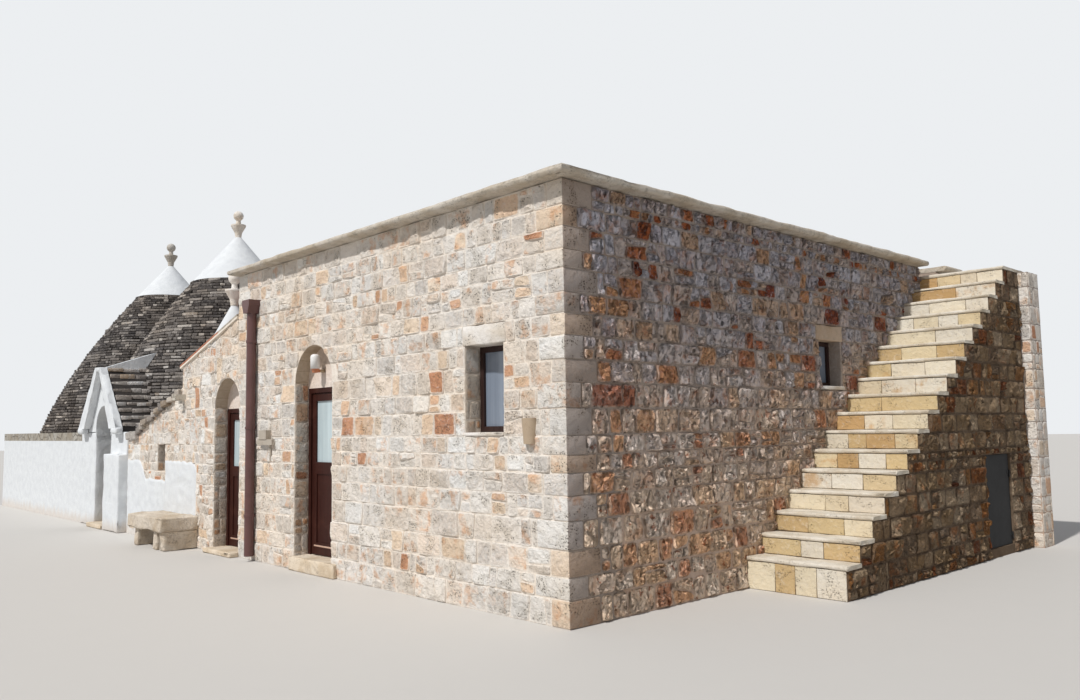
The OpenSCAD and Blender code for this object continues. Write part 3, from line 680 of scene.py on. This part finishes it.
DOOR_R, DOOR_R_ARCH = (-4.300, -3.490, 0.0, 2.043), (-3.895, 2.043, 0.405)
DOOR_L, DOOR_L_ARCH = (-6.450, -5.710, 0.0, 1.827), (-6.080, 1.827, 0.370)
WINDOW, LINTEL = (-1.240, -0.725, 1.450, 2.224), (-1.260, -0.695, 2.224, 2.399)
lay_stones("front_wall_stones", sheet(-block_w, 0, wall_h), on_front(), cream, FACADE,
           holes=[DOOR_R, WINDOW, LINTEL, DOOR_L] + front_holes, arches=(DOOR_R_ARCH, DOOR_L_ARCH), seed=11)
SIDE_WINDOW = ((3.769, 4.259, 1.866, 2.399), (3.739, 4.289, 2.399, 2.560))
FOOT_H = 0.80
ROOF_WAY = (6.326, 6.850, 3.336, 3.6)
lay_stones("right_wall_stones", sheet(0, block_d, wall_h), on_right(), shaded, FLANK,
           holes=[*SIDE_WINDOW, ROOF_WAY, (-0.1, block_d + 0.1, 0.0, FOOT_H)]
           + [hole for hole in right_holes if hole[2] >= FOOT_H - 0.01], seed=23)
lay_stones("right_wall_foot_stones", sheet(0, block_d, FOOT_H), on_right(), shaded, FOOT,
           holes=[hole for hole in right_holes if hole[3] <= FOOT_H + 0.01], seed=29)

WING_HIGH, WING_LOW, LOW_TOP = 2.93, 2.41, 1.5
WASH = ((-8.10, -7.01, 0.0, 1.10), (low_x - 0.1, -8.10, 0.0, 0.84), (low_x - 0.1, -8.98, 0.84, 1.10))
SMALL_WINDOW = (-8.425, -8.138, 0.972, 1.354)
lay_stones("wing_front_stones", [(low_x, 0), (-block_w, 0), (-block_w, WING_HIGH), (wing_x, WING_LOW), (wing_x, 2.08),
                                 (-9.40, LOW_TOP), (low_x, LOW_TOP)],
           on_front(), cream, FACADE, holes=[DOOR_L, SMALL_WINDOW, *WASH], arches=(DOOR_L_ARCH,), seed=31)
lay_stones("wing_left_stones", sheet(-wing_d, 0, WING_LOW), on_left(wing_x), cream, PLAIN,
           holes=[(-wing_d - 0.1, 0.1, 0.0, 2.05)], seed=37)
lay_stones("block_left_stones", sheet(-block_d, 0, wall_h), on_left(-block_w), cream, PLAIN,
           holes=[(-wing_d, 0.1, 0.0, 2.98)], seed=41)
lay_stones("back_wall_stones", sheet(-side_x, block_w, wall_h), on_back(y=block_d), shaded, PLAIN,
           holes=[(-side_x - 0.1, 0.0, 3.286, 3.6)], seed=43)
lay_stones("wing_back_stones", [(block_w, 0), (-wing_x, 0), (-wing_x, WING_LOW), (block_w, WING_HIGH)],
           on_back(y=wing_d), shaded, PLAIN, seed=47)

# The reveals of the doors and windows: a single line of stones on each side, darker than the wall's as painted shade.
# The arches have a soffit of tan blocks and a pink plaster behind.
RECESS, SMALL_RECESS = 0.17, 0.15


def arch_tone(f):
    """The soffit's blocks by their angle round the arch, and the plaster at the back of the recess."""
    right = f.axis(0) > corner.x - 5.0
    across = f.axis(0) - (corner.x + DOOR_L_ARCH[0]) - right * (DOOR_R_ARCH[0] - DOOR_L_ARCH[0])
    up = f.axis(2) - DOOR_L_ARCH[1] - right * (DOOR_R_ARCH[1] - DOOR_L_ARCH[1])
    turn = up.sum("ARCTAN2", across) * 3.2 + f.noise(6.0, 2.0) * 0.25
    block = f.node("TexWhiteNoise", {"noise_dimensions": "1D"}, {"W": turn.sum("FLOOR")})
    stone = f.mix(block, "d4c8b8", "beb09e")
    stone = f.mix(turn.sum("FRACT").between(0.09, 0.03) * 0.5, stone, "968672")
    return f.mix(f.axis(1) > corner.y + RECESS - 0.006, stone, PLASTER)


tan_and_pink = mortar_finish("mortar_and_arch_plaster", PALE_MORTAR, arch_tone, lambda f: f.axis(1) > corner.y + 0.004)
finish_node(tan_and_pink, "walls_over_doors")
for n, (u0, u1, v0, v1) in enumerate((DOOR_R, DOOR_L, WINDOW, SMALL_WINDOW)):
    deep = SMALL_RECESS if n == 3 else RECESS
    lay_stones(f"left_reveal_stones_{n}", sheet(0, deep, v1, v0), on_right(u0), painted_shade_reveal, REVEAL, seed=60 + n)
    lay_stones(f"right_reveal_stones_{n}", sheet(-deep, 0, v1, v0), on_left(u1), painted_shade_reveal, REVEAL, seed=70 + n)


# The terrace and its coping, the lintels and the sills.
# Sawn slabs of the same limestone: weathered grey along the coping, pitted and pale over the openings.
def slab_finish(name, colour, dirt, streak=0.35, slabs=0.0, wear=0.012, pits=0.6, other=None, where=None):
    """Cut limestone. slabs is the number of joints across a metre, drawn as thin lines.

    where gives the part of a node that has the other colour.
    """
    f = Finish(name)
    if where:
        colour, dirt = f.mix(where(f), colour, other), f.mix(where(f), dirt, tuple(c * 0.6 for c in linear(other)))
    f.tone = colour
    cloud = f.noise(3.2, 6.0, 0.62)
    drift = f.noise(15.0, 6.0, 0.66)
    grain = f.noise(120.0, 3.0, 0.65)
    f.tint(cloud.between(0.35, 0.68), "e2dace")
    f.paint(drift.between(0.48, 0.72) * streak, dirt)
    hollow = f.cells(52.0, f.moved(drift * 0.03))
    pit = (1.0 - hollow.between(0.10, 0.34)) * f.noise(6.0, 3.0).between(0.47, 0.60)
    # Painted shade: the pits' hollows are darkened.
    f.paint(pit * pits, PAINTED_PIT_SHADE)
    f.tint(grain.between(0.5, 0.75) * 0.25, "aaa094", colour)
    layers = [(cloud, wear), (drift, wear * 1.4), (1.0 - pit, 0.006), (grain, 0.0015)]
    if slabs:
        seam = f.cells(slabs, f.moved(drift * 0.02), feature="DISTANCE_TO_EDGE", spread=0.7)
        f.tint(seam.between(0.035, 0.012) * 0.5, "968c82", dirt)
        layers.insert(0, (seam.between(0.0, 0.03), 0.01))
    f.bump(*layers)
    return f.done(0.88, Specular_IOR_Level=0.25)


def joined(node):
    """A node's own faces, joined along their edges."""
    bm = bmesh.new()
    bm.from_mesh(nodes[node].data)
    bmesh.ops.remove_doubles(bm, verts=bm.verts, dist=1e-5)
    return bm


def weathered(node, material, bevel=0.010, wobble=0.006, step=0.10):
    """A node's own shape with worn edges and an uneven face, standing for the node."""
    bm = joined(node)
    low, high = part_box(node)
    for axis, along in enumerate((Vector((1, 0, 0)), Vector((0, 1, 0)), Vector((0, 0, 1)))):
        point = low.copy()
        for n in range(1, int((high[axis] - low[axis]) / step) + 1):
            point[axis] = low[axis] + n * step
            cut(bm, around(bm.faces), point, along)
    if bevel:
        rounded(bm, [e for e in bm.edges if len(e.link_faces) == 2 and e.calc_face_angle() > WORN_EDGE], bevel, 2)
    bm.normal_update()
    for vert, normal in [(v, v.normal.copy()) for v in bm.verts]:
        vert.co += normal * wobble * (noise.noise(vert.co * 4.0 + Vector((1, 0, 0)))
                                      + 0.5 * noise.noise(vert.co * 13.0 + Vector((0, 1, 0))) - 0.3)
    piece = add_piece("worn_" + node, mesh_of(bm, "worn_" + node, sharp=40), material)
    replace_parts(piece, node)


WORN_EDGE = math.radians(50)
PALE, PALE_DIRT = "eee9e3", "d2c9bd"
weathered("coping", slab_finish("coping_limestone", "d0c8bc", "8e867a", streak=0.65),
          bevel=0, wobble=0.010)
weathered("lintels", slab_finish("lintel_limestone", PALE, PALE_DIRT, pits=0.8, other="c4b09c",
                                 where=lambda f: f.axis(1) > corner.y + 1.0), wobble=0.012)
weathered("sills", slab_finish("white_limestone", PALE, PALE_DIRT), bevel=0.006, wobble=0.004)
weathered("thresholds", slab_finish("worn_step", "e8dac6", "ccb69a"), bevel=0.012)
weathered("bench", slab_finish("bench_stone", "e4d8c8", "b8a68e", wear=0.03),
          bevel=0.020, wobble=0.020)
weathered("stair_treads", slab_finish("tread_stone", "e4ddd0", "ccbca2", pits=0.3),
          bevel=0, wobble=0.008, step=0.09)
finish_node(slab_finish("terrace_slabs", "cdc5b7", "a89e8e", slabs=2.2), "roof_slab")
finish_node(slab_finish("inner_floor_slabs", "cebea8", "b29e84", slabs=2.6), "floors")
finish_node(slab_finish("spout_stone", "cec8bc", "968e80"), "stone_spout")
finish_node(slab_finish("pinnacle_stone", "f8f3ed", "ded7ce", streak=0.4,
                        other="ccc7c0", where=lambda f: f.axis(0) < corner.x - 13.0), "pinnacles")
finish_node(slab_finish("roof_edge_stone", "b0aba2", "706a62", streak=0.7, slabs=3.2),
            "trullo_roof", "trullo_roof_right")


# Doors, windows and fittings.
# Dark brown painted wood with a little grain, panes with a pale curtain close behind, their blue grey partly a painted
# reflection of the sky, a brown painted downpipe, an opal lamp on a clay coloured foot and bracket, a grey meter cover
# and a dark iron door under the stair.
def wood_finish(name, colour):
    f = Finish(name, colour)
    along = f.stretched((26.0, 26.0, 1.6))
    grain = f.noise(1.0, 6.0, 0.6, along)
    fine = f.noise(4.0, 3.0, 0.6, along)
    worn = f.noise(5.0)
    f.tint(grain.between(0.4, 0.65) * 0.5, "aa968c")
    f.paint(worn.between(0.55, 0.75) * 0.2, "603c30")
    f.bump((grain, 0.0012), (fine, 0.0005))
    return f.done(worn * 0.16 + 0.42, **DULL)


def curtain_finish(name, colour, folds=0.35):
    """A pane with a curtain right behind it, its folds running down and painted as bands of shade."""
    f = Finish(name, colour)
    fold = f.noise(1.0, 3.0, 0.5, f.stretched((30.0, 30.0, 0.8)))
    # Painted shade in the curtain's folds.
    f.tint(fold.between(0.35, 0.65) * folds, "c4c8ce")
    f.tint(f.noise(1.6, 2.0).between(0.4, 0.7) * 0.25, "d8dce0", colour)
    return f.done(0.22, Specular_IOR_Level=0.6, Coat_Weight=0.6, Coat_Roughness=0.04)


def painted_finish(name, colour, worn_colour, rough=0.42, metal=0.0, speck=0.3):
    f = Finish(name, colour)
    cloud = f.noise(7.0, 5.0, 0.6)
    fleck = f.noise(60.0, 4.0, 0.7)
    f.tint(cloud.between(0.4, 0.7) * 0.4, "c8c0ba")
    f.paint(fleck.between(0.60, 0.72) * speck, worn_colour)
    f.bump((cloud, 0.0015), (fleck, 0.0004))
    return f.done(cloud * 0.16 + (rough - 0.06), Metallic=metal)


finish_node(wood_finish("dark_brown_wood", "381a14"), "door_frames", "door_leaf_right", "door_leaf_left")
finish_node(wood_finish("window_wood", "382825"), "window_frames")
# The panes' blue grey is partly the curtain and partly a painted reflection of the sky.
finish_node(curtain_finish("door_curtain_pane_with_painted_reflection", "c4d4d8"), "door_glass_right", "door_glass_left")
finish_node(curtain_finish("window_curtain_pane_with_painted_reflection", "848f9e", folds=0.3), "window_glass")
for node, name, colour, worn, look in (
        ("downspout", "brown_painted_pipe", "60403d", "8c6c62", {"rough": 0.34}),
        ("meter_box", "grey_cover", "b0a698", "968e84", {"rough": 0.5}),
        ("corner_light", "clay_cover", "b29e86", "846e58", {"rough": 0.6, "speck": 0.7}),
        ("store_door", "grey_iron_door", "1b1b1c", "362e28", {"rough": 0.85}),
        ("hinge_pins", "black_iron", "34302e", "604638", {"rough": 0.45, "metal": 0.7})):
    finish_node(painted_finish(name, colour, worn, **look), node)


def opal_finish():
    f = Finish("opal_glass_on_clay_foot")
    foot = f.axis(2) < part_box("wall_lamp")[0].z + 0.042
    bracket = f.axis(1) > corner.y + RECESS - 0.062
    f.tone = f.mix(foot, f.mix(f.noise(30.0, 3.0), "f0f0ee", "e4e2de"),
                   f.mix(bracket, "c47a52", "baa88c"))
    return f.done(0.3, Coat_Weight=0.3)


GLOBE_ROUNDING = 0.036
bm = joined("wall_lamp")
lamp_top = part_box("wall_lamp")[1].z
rounded(bm, [e for e in bm.edges if all(v.co.z > lamp_top - 0.001 for v in e.verts) and e.calc_face_angle(0.0) > 1.0],
        GLOBE_ROUNDING, 6)
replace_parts(add_piece("globe_lamp", mesh_of(bm, "globe_lamp", sharp=40), opal_finish()), "wall_lamp")

for side in ("right", "left"):
    body = side + "_leaf"
    low, high = size("door_leaf_" + side)
    front = size("door_glass_" + side)[0].y - 0.012
    bar = Blocks(53)
    bar.between((low.x + 0.06, front - 0.010, low.z + 0.085), (high.x - 0.02, front + 0.008, low.z + 0.103))
    bar.piece("weather_bar_" + body, painted_finish("worn_bar_" + body, "c4a492", "8c6454"),
              "dark_wood", bevel=0.003, body=body)


# The outside stair.
# Solid treads on a rubble core, with risers of squared yellow tufa and cream limestone, two to four to a step, and
# rubble on its outer side, stained by the earth and darkened further as painted shade.
RISE, RUN, STEP_0, STAIR_W, STEPS, TREAD_T, STAIR_TOP = 0.190, 0.251, 0.106, 1.003, 17, 0.040, 3.296
TUFA_TONES = scale_of((0.00, "ece6d9"), (0.30, "e4d6b8"), (0.55, "dac498"), (0.80, "ccac7c"), (1.00, "be9466"))
tufa = stone_finish("squared_tufa", TUFA_TONES, stain=0.25, pits=0.35, rough_face=0.012, dust_and_sheen="ece4d0",
                    stain_colour="cca470", chips=0.004)
risers = Blocks(83)
steps_above = []
for k in range(1, STEPS + 1):
    y = stair_y + (k - 1) * RUN
    z0, z1 = (0.0 if k == 1 else STEP_0 + (k - 1) * RISE), STEP_0 + k * RISE - TREAD_T
    steps_above.append((y - 0.001, y + RUN if k < STEPS else block_d + 0.1, z1, 4.0))
    count = risers.rng.choice((2, 3, 3, 4))
    cuts = [0.0] + sorted(STAIR_W * (n + risers.rng.uniform(-0.25, 0.25)) / count for n in range(1, count))
    cuts.append(side_x)
    for x0, x1 in zip(cuts, cuts[1:]):
        out = risers.rng.uniform(0.003, 0.008)
        mark = (risers.rng.choice((0.0, 0.05, 0.12, 0.25, 0.4, 0.55, 0.7, 0.85)), risers.rng.random() * 0.7,
                risers.rng.random(), 0.0)
        risers.between((x0 + 0.002, y - out, z0 + 0.002), (x1 - 0.002, y + 0.01, z1 - 0.003), mark=mark, rough=0.0015)
risers.piece("stair_riser_blocks", tufa, "ochre_stone", bevel=0.004)
store_hole = (5.49, 6.21, 0.0, 1.13)
(_, pier_y0, _), (pier_out, pier_y1, _) = size("end_pier")
lay_stones("stair_side_stones", sheet(stair_y, block_d, STAIR_TOP), on_right(side_x), brown, FLANK,
           holes=steps_above + [store_hole, (pier_y0, pier_y1, 0.0, 4.0)], seed=89)
for side, place, left, right in (("front", on_front(y=pier_y0), side_x, pier_out),
                                 ("back", on_back(y=pier_y1), -pier_out, -side_x),
                                 ("side", on_right(pier_out), pier_y0, pier_y1)):
    lay_stones(f"pier_{side}_stones", sheet(left, right, STAIR_TOP), place, cream, REVEAL, seed=97)


# The wing's tiled slope.
# Flat clay tiles laid on the slope from the block down to the cones, with grey stone slabs next to the block.
CLAY_TONES = scale_of((0.00, "b87c60"), (0.30, "aa6a50"), (0.50, "c09276"), (0.66, "945e4a"), (0.70, "bab4a8"),
                      (1.00, "969086"))
clay = stone_finish("old_clay_tiles", CLAY_TONES, stain=0.0, pits=0.2, rough_face=0.006, dust_and_sheen="caac96", chips=0.0)
RAKE_HIGH, RAKE_LOW, GREY_FROM = 2.980, 2.460, -6.32
TILE, TILE_ROWS, TILE_COLUMNS, ROW_STEP, COLUMN_STEP = (0.33, 0.236, 0.022), 6, 21, 0.305, 0.243
NEAR_CONE = (7.04, 0.5, 0.50)
slope = (RAKE_HIGH - RAKE_LOW) / (-block_w - wing_x)
tiles = Blocks(101)
lean = turned(-math.atan(slope) + 0.02, "Y")
for row in range(TILE_ROWS):
    x = -block_w - 0.17 - row * ROW_STEP
    for column in range(TILE_COLUMNS):
        y = -0.02 + 0.125 + column * COLUMN_STEP
        if math.hypot(x + NEAR_CONE[0], y - NEAR_CONE[1]) < NEAR_CONE[2]:
            continue
        mark = tiles.mark(tiles.rng.uniform(*((0.71, 1.0) if x > GREY_FROM else (0.0, 0.6))))
        z = RAKE_HIGH + (x + block_w) * slope + 0.004
        tiles.add(spot(x + tiles.rng.uniform(-0.008, 0.008), y, z), TILE, lean, mark, 0.003)
tiles.piece("wing_slope_tiles", clay, "clay")


def verge_finish():
    f = Finish("clay_and_grey_verge")
    spots = f.noise(9.0, 5.0, 0.6)
    grain = f.noise(60.0)
    in_spots = spots.between(0.4, 0.65)
    f.tone = f.mix(f.axis(0) + spots * 0.2 > corner.x + GREY_FROM + 0.1,
                   f.mix(in_spots, "b87a5e", "9e624c"),
                   f.mix(in_spots, "b6aea0", "928a7e"))
    f.paint(grain.between(0.5, 0.7) * 0.3, "96806e")
    under = f.axis(2) + (spots - 0.5) * 0.012 < RAKE_HIGH - 0.026 + (f.axis(0) + (block_w - corner.x)) * slope
    f.paint(under, "e8ded0")
    f.bump((spots, 0.008), (grain, 0.002))
    return f.done(0.85)


finish_node(verge_finish(), "wing_tiles")
finish_node(pale_mortar, "wing_roof")


# The whitewashed trullo.
# Thick limewash over low rubble walls, the gable and its hood, the caps and the small cone: soft lumps, a few grey
# washes and earth along the foot. The wash also covers a patch of the low wall behind the bench.
def whitewash_finish(name, foot_dirt=True):
    f = Finish(name)
    lump = f.noise(7.0, 4.0, 0.5)
    fine = f.noise(45.0, 4.0, 0.6)
    drip = f.noise(1.0, 5.0, 0.6, f.stretched((7.0, 7.0, 0.9)))
    f.tone = f.mix(lump.between(0.3, 0.7), "dfe2e4", "d7dadd")
    f.paint(drip.between(0.56, 0.74) * 0.18, "c8c8c6")
    f.paint(fine.between(0.56, 0.72) * 0.15, "c4c0b8")
    if foot_dirt:
        f.paint((f.axis(2) + (drip - 0.5) * 0.35).between(0.22, 0.02) * 0.4, "cab49a")
    f.bump((lump, 0.014), (fine, 0.0025))
    return f.done(0.9, **DULL)


white = whitewash_finish("thick_limewash")
high_white = whitewash_finish("cap_limewash", foot_dirt=False)
finish_node(white, "trullo_wall_front", "trullo_walls")
finish_node(high_white, "gable_top", "cone_caps", "cone_near")
weathered("gable_piers", white, bevel=0.020, wobble=0.014)
weathered("gable_hood", high_white, bevel=0, wobble=0.014)
WASH_CELL, WASH_OUT = 0.03, 0.015


def lay_wash(name, left, right, top, seed):
    """A thick coat of limewash over rubble, with an uneven upper edge. top gives its height along the wall."""
    bm = bmesh.new()
    cols, rows = int((right - left) / WASH_CELL), int(top((left + right) / 2) / WASH_CELL)
    grid = []
    for i in range(cols + 1):
        u = left + (right - left) * i / cols
        edge = top(u) + 0.04 * wave(u * 5, seed, 0) + 0.02 * wave(u * 23, seed, 1)
        grid.append([])
        for j in range(rows + 1):
            v = edge * j / rows
            out = WASH_OUT + 0.008 * wave(u * 7, v * 8, seed) + 0.003 * wave(u * 25, v * 25, seed)
            if j == rows or i in (0, cols):
                out = -0.01
            grid[-1].append(bm.verts.new(spot(u, -out, v)))
    for a, b in zip(grid, grid[1:]):
        for j in range(rows):
            bm.faces.new((a[j], b[j], b[j + 1], a[j + 1]))
    add_piece(name, mesh_of(bm, name), white)


lay_wash("limewash_coat_right", -8.12, -7.01, lambda u: 1.14 - 4.0 * max(0.0, u + 7.18) ** 2, 3)
lay_wash("limewash_coat_left", low_x, -8.10, lambda u: 0.86 + 0.28 * min(1.0, max(0.0, (-8.85 - u) / 0.30)), 4)

# The stone cones.
# Dry courses of thin limestone slabs, black with lichen and grey, each set back from the one below, on the two
# large cones; thicker courses on the little roof behind the gable and flat slabs along the sloping wall top.
SLATE_TONES = scale_of((0.00, "444142"), (0.25, "625e5d"), (0.50, "827d7a"), (0.72, "a49e99"), (0.88, "d6d1cb"),
                       (1.00, "968674"))
slate = stone_finish("lichened_roof_stone", SLATE_TONES, stain=0.0, pits=0.5, rough_face=0.02, dust_and_sheen="bcb6ae")
TIP, EAVE, CAP_H, COURSES, MIDDLE_COURSES = 5.285, 1.550, 0.80, 51, 48
CONE_PROFILE = ((0.0, 0.0), (0.8, 0.68), (1.3, 1.07), (2.0, 1.56), (2.66, 1.96), (3.2, 2.23), (3.735, 2.45))
LEFT_AXIS, MIDDLE_AXIS = Vector((-15.060, 2.590, 0)), Vector((-11.310, 2.460, 0))
GABLE_X, GABLE_Y, GABLE_HALF, GABLE_FOOT, GABLE_TIP, GABLE_TOP = -10.80, -0.03, 0.957, 1.62, 2.765, 2.61
GABLE_SLOPE = (GABLE_TIP - GABLE_FOOT) / GABLE_HALF
SLAB_LENGTHS, SLAB_DEEP = (0.09, 0.12, 0.16, 0.21, 0.29), 0.14


def inside_cones(f):
    """1 on the inner faces of the large cones' shells, 0 on their slabs."""
    def inside(axis):
        dx, dy = f.axis(0) - (corner.x + axis.x), f.axis(1) - (corner.y + axis.y)
        return (dx * dx + dy * dy).sum("POWER", 0.5) < 0.56 + (TIP - CAP_H - f.axis(2)) * 0.52
    return inside(LEFT_AXIS).sum("MAXIMUM", inside(MIDDLE_AXIS))


def inside_gable(f):
    """1 on the limewashed inner faces of the little roof behind the gable, 0 on its outer ones."""
    away = (f.axis(0) - (corner.x + GABLE_X)).sum("ABSOLUTE")
    return f.axis(2) + away * GABLE_SLOPE < GABLE_TIP - 0.22


finish_node(mortar_finish("shadowed_bed", "3a3633", "cec8be", inside_cones), "cone_left", "cone_middle")
# The little roof's outer faces between its slabs are dark: painted shade, as on the cones' shadowed bed.
finish_node(mortar_finish("gable_bed_with_painted_shade", "423f3e", "ceccc8", inside_gable), "dormer_roof")


def cone_radius(z):
    """Radius of a large cone's face at a level."""
    depth = TIP - z
    for (d0, r0), (d1, r1) in zip(CONE_PROFILE, CONE_PROFILE[1:]):
        if depth <= d1:
            return r0 + (r1 - r0) * (depth - d0) / (d1 - d0)
    return CONE_PROFILE[-1][1]


def lay_cone(name, axis, other, courses, seed, dark):
    """Lays the courses of one large cone. A higher last value gives more dark slabs: black with lichen, and on the
    left cone partly painted shade.
    """
    slabs = Blocks(seed)
    rng = slabs.rng
    tall = (TIP - CAP_H - EAVE) / COURSES
    for course in range(courses):
        z = EAVE + course * tall
        r = cone_radius(z + tall)
        angle = rng.uniform(0, 0.3)
        end = angle + math.tau
        while angle < end - 0.01:
            step = min(rng.choice(SLAB_LENGTHS) * rng.uniform(0.8, 1.2) / r, end - angle)
            middle = angle + step / 2
            out = Vector((math.cos(middle), math.sin(middle), 0))
            proud = rng.uniform(0.004, 0.022) + (0.015 if rng.random() < 0.06 else 0.0)
            face = axis + out * (r + proud)
            angle += step
            in_other = math.hypot(face.x - other.x, face.y - other.y) < cone_radius(z) - 0.04
            roof_line = min(GABLE_TIP - abs(face.x - GABLE_X) * GABLE_SLOPE, GABLE_TOP)
            in_gable = face.y < 1.5 and abs(face.x - GABLE_X) < GABLE_HALF and z + tall < roof_line - 0.04
            if in_other or in_gable:
                continue
            centre = axis + out * (r + proud - SLAB_DEEP / 2)
            turn = turned(middle + rng.uniform(-0.05, 0.05)) @ turned(rng.uniform(-0.04, 0.04), "X")
            slab = (SLAB_DEEP, r * step - rng.uniform(0.003, 0.012), tall - rng.uniform(0.006, 0.018))
            mark = slabs.mark(min(rng.betavariate(1.6, dark), 1.0))
            slabs.add(spot(centre.x, centre.y, z + tall / 2), slab, turn, mark, 0.005)
    slabs.piece(name, slate, "roof_stone", bevel=0.007)


# The left cone gets more dark slabs than the middle one: painted shade.
lay_cone("left_cone_slabs", LEFT_AXIS, MIDDLE_AXIS, COURSES, 7, 2.4)
lay_cone("middle_cone_slabs", MIDDLE_AXIS, LEFT_AXIS, MIDDLE_COURSES, 8, 1.8)

hood = Blocks(17)
draw = hood.rng.uniform
z = EAVE + 0.02
while z < GABLE_TOP - 0.08:
    tall = min(draw(0.105, 0.125), GABLE_TOP - 0.02 - z)
    off = min((GABLE_TIP - z - tall * 0.8) / GABLE_SLOPE, GABLE_HALF) - 0.035
    for side in (-1, 1):
        y = GABLE_Y + 0.01
        x = GABLE_X + side * off
        far = MIDDLE_AXIS.y - math.sqrt(max(cone_radius(z + tall) ** 2 - (x - MIDDLE_AXIS.x) ** 2, 0.01)) + 0.05
        while y < far:
            long = draw(0.09, 0.30)
            proud = draw(-0.005, 0.035)
            mark = hood.mark(0.55 + 0.45 * hood.rng.random())
            rise = 0.012 * wave(y * 4.0, z * 7.0, side) + draw(-0.004, 0.004)
            hood.add(spot(x + side * (proud - 0.05), y + long / 2, z + tall * 0.74 + rise),
                     (SLAB_DEEP, long - 0.004, tall * draw(0.50, 0.66)), Matrix(), mark, 0.009)
            y += long
    z += tall
# The slabs on the little roof behind the gable take a lighter copy of the roof stone's tones: painted sunlight.
painted_sunlit_tones = [(at, tuple(min(c * 1.5, 0.75) for c in tone)) for at, tone in SLATE_TONES]
gable_slate = stone_finish("roof_stone_with_painted_sunlight", painted_sunlit_tones, stain=0.0, pits=0.5, rough_face=0.02, dust_and_sheen="e2dad0")
hood.piece("gable_roof_slabs", gable_slate, "roof_stone", bevel=0.010, segments=2)
feet = Blocks(23)
for side in (-1, 1):
    feet.add(spot(GABLE_X + side * (GABLE_HALF - 0.10), GABLE_Y - 0.062, GABLE_FOOT - 0.055), (0.26, 0.125, 0.10),
             rough=0.008)
feet.piece("hood_feet", high_white, "limewash", bevel=0.035, segments=3)

# The passage under the gable has a limewashed lining, as deep as the wall.
PASSAGE_W, PASSAGE_H, PASSAGE_FROM, PASSAGE_TO, LINING_T, ARCH_PARTS = 0.740, 1.98, -0.025, 0.64, 0.03, 24
bm = bmesh.new()
half, spring, rings = 0.5 * PASSAGE_W - 0.004, PASSAGE_H - 0.5 * PASSAGE_W, []
for n in range(ARCH_PARTS + 3):
    turn = math.pi * min(max(n - 1, 0), ARCH_PARTS) / ARCH_PARTS
    rings.append([])
    for reach, y in ((half, PASSAGE_FROM), (half, PASSAGE_TO), (half + LINING_T, PASSAGE_TO),
                     (half + LINING_T, PASSAGE_FROM)):
        z = EAVE - 0.06 if n in (0, ARCH_PARTS + 2) else spring + reach * math.sin(turn)
        rings[-1].append(bm.verts.new(spot(GABLE_X + reach * math.cos(turn), y, z)))
for near, far in zip(rings, rings[1:]):
    for k in range(4):
        bm.faces.new((near[k], near[k - 1], far[k - 1], far[k]))
for ring in (rings[0], rings[-1]):
    bm.faces.new(ring)
bmesh.ops.recalc_face_normals(bm, faces=bm.faces)
add_piece("passage_lining", mesh_of(bm, "passage_lining", sharp=40), high_white)

# Flat slabs lie along the top of the low wall and step up its slope.
SLOPE_X, SLOPE_TOP = -9.4, 2.08
edge = Blocks(19)
draw = edge.rng.uniform
x = -9.62
while x < wing_x - 0.03:
    long = min(draw(0.10, 0.24), wing_x - x)
    z = LOW_TOP
    if x >= SLOPE_X:
        z += (x + long * 0.6 - SLOPE_X) * (SLOPE_TOP - LOW_TOP) / (wing_x - SLOPE_X)
    tall = draw(0.07, 0.12)
    turn = turned(draw(-0.16, 0.02), "Y")
    mark = edge.mark(draw(0.6, 1.0))
    centre = spot(x + long / 2, 0.20 - draw(-0.01, 0.04), z + 0.035 - tall / 2 + draw(0.0, 0.03))
    edge.add(centre, (long + 0.03, 0.50, tall), turn, mark, 0.012)
    x += long
edge.piece("wall_top_slabs", slate, "roof_stone", bevel=0.010)
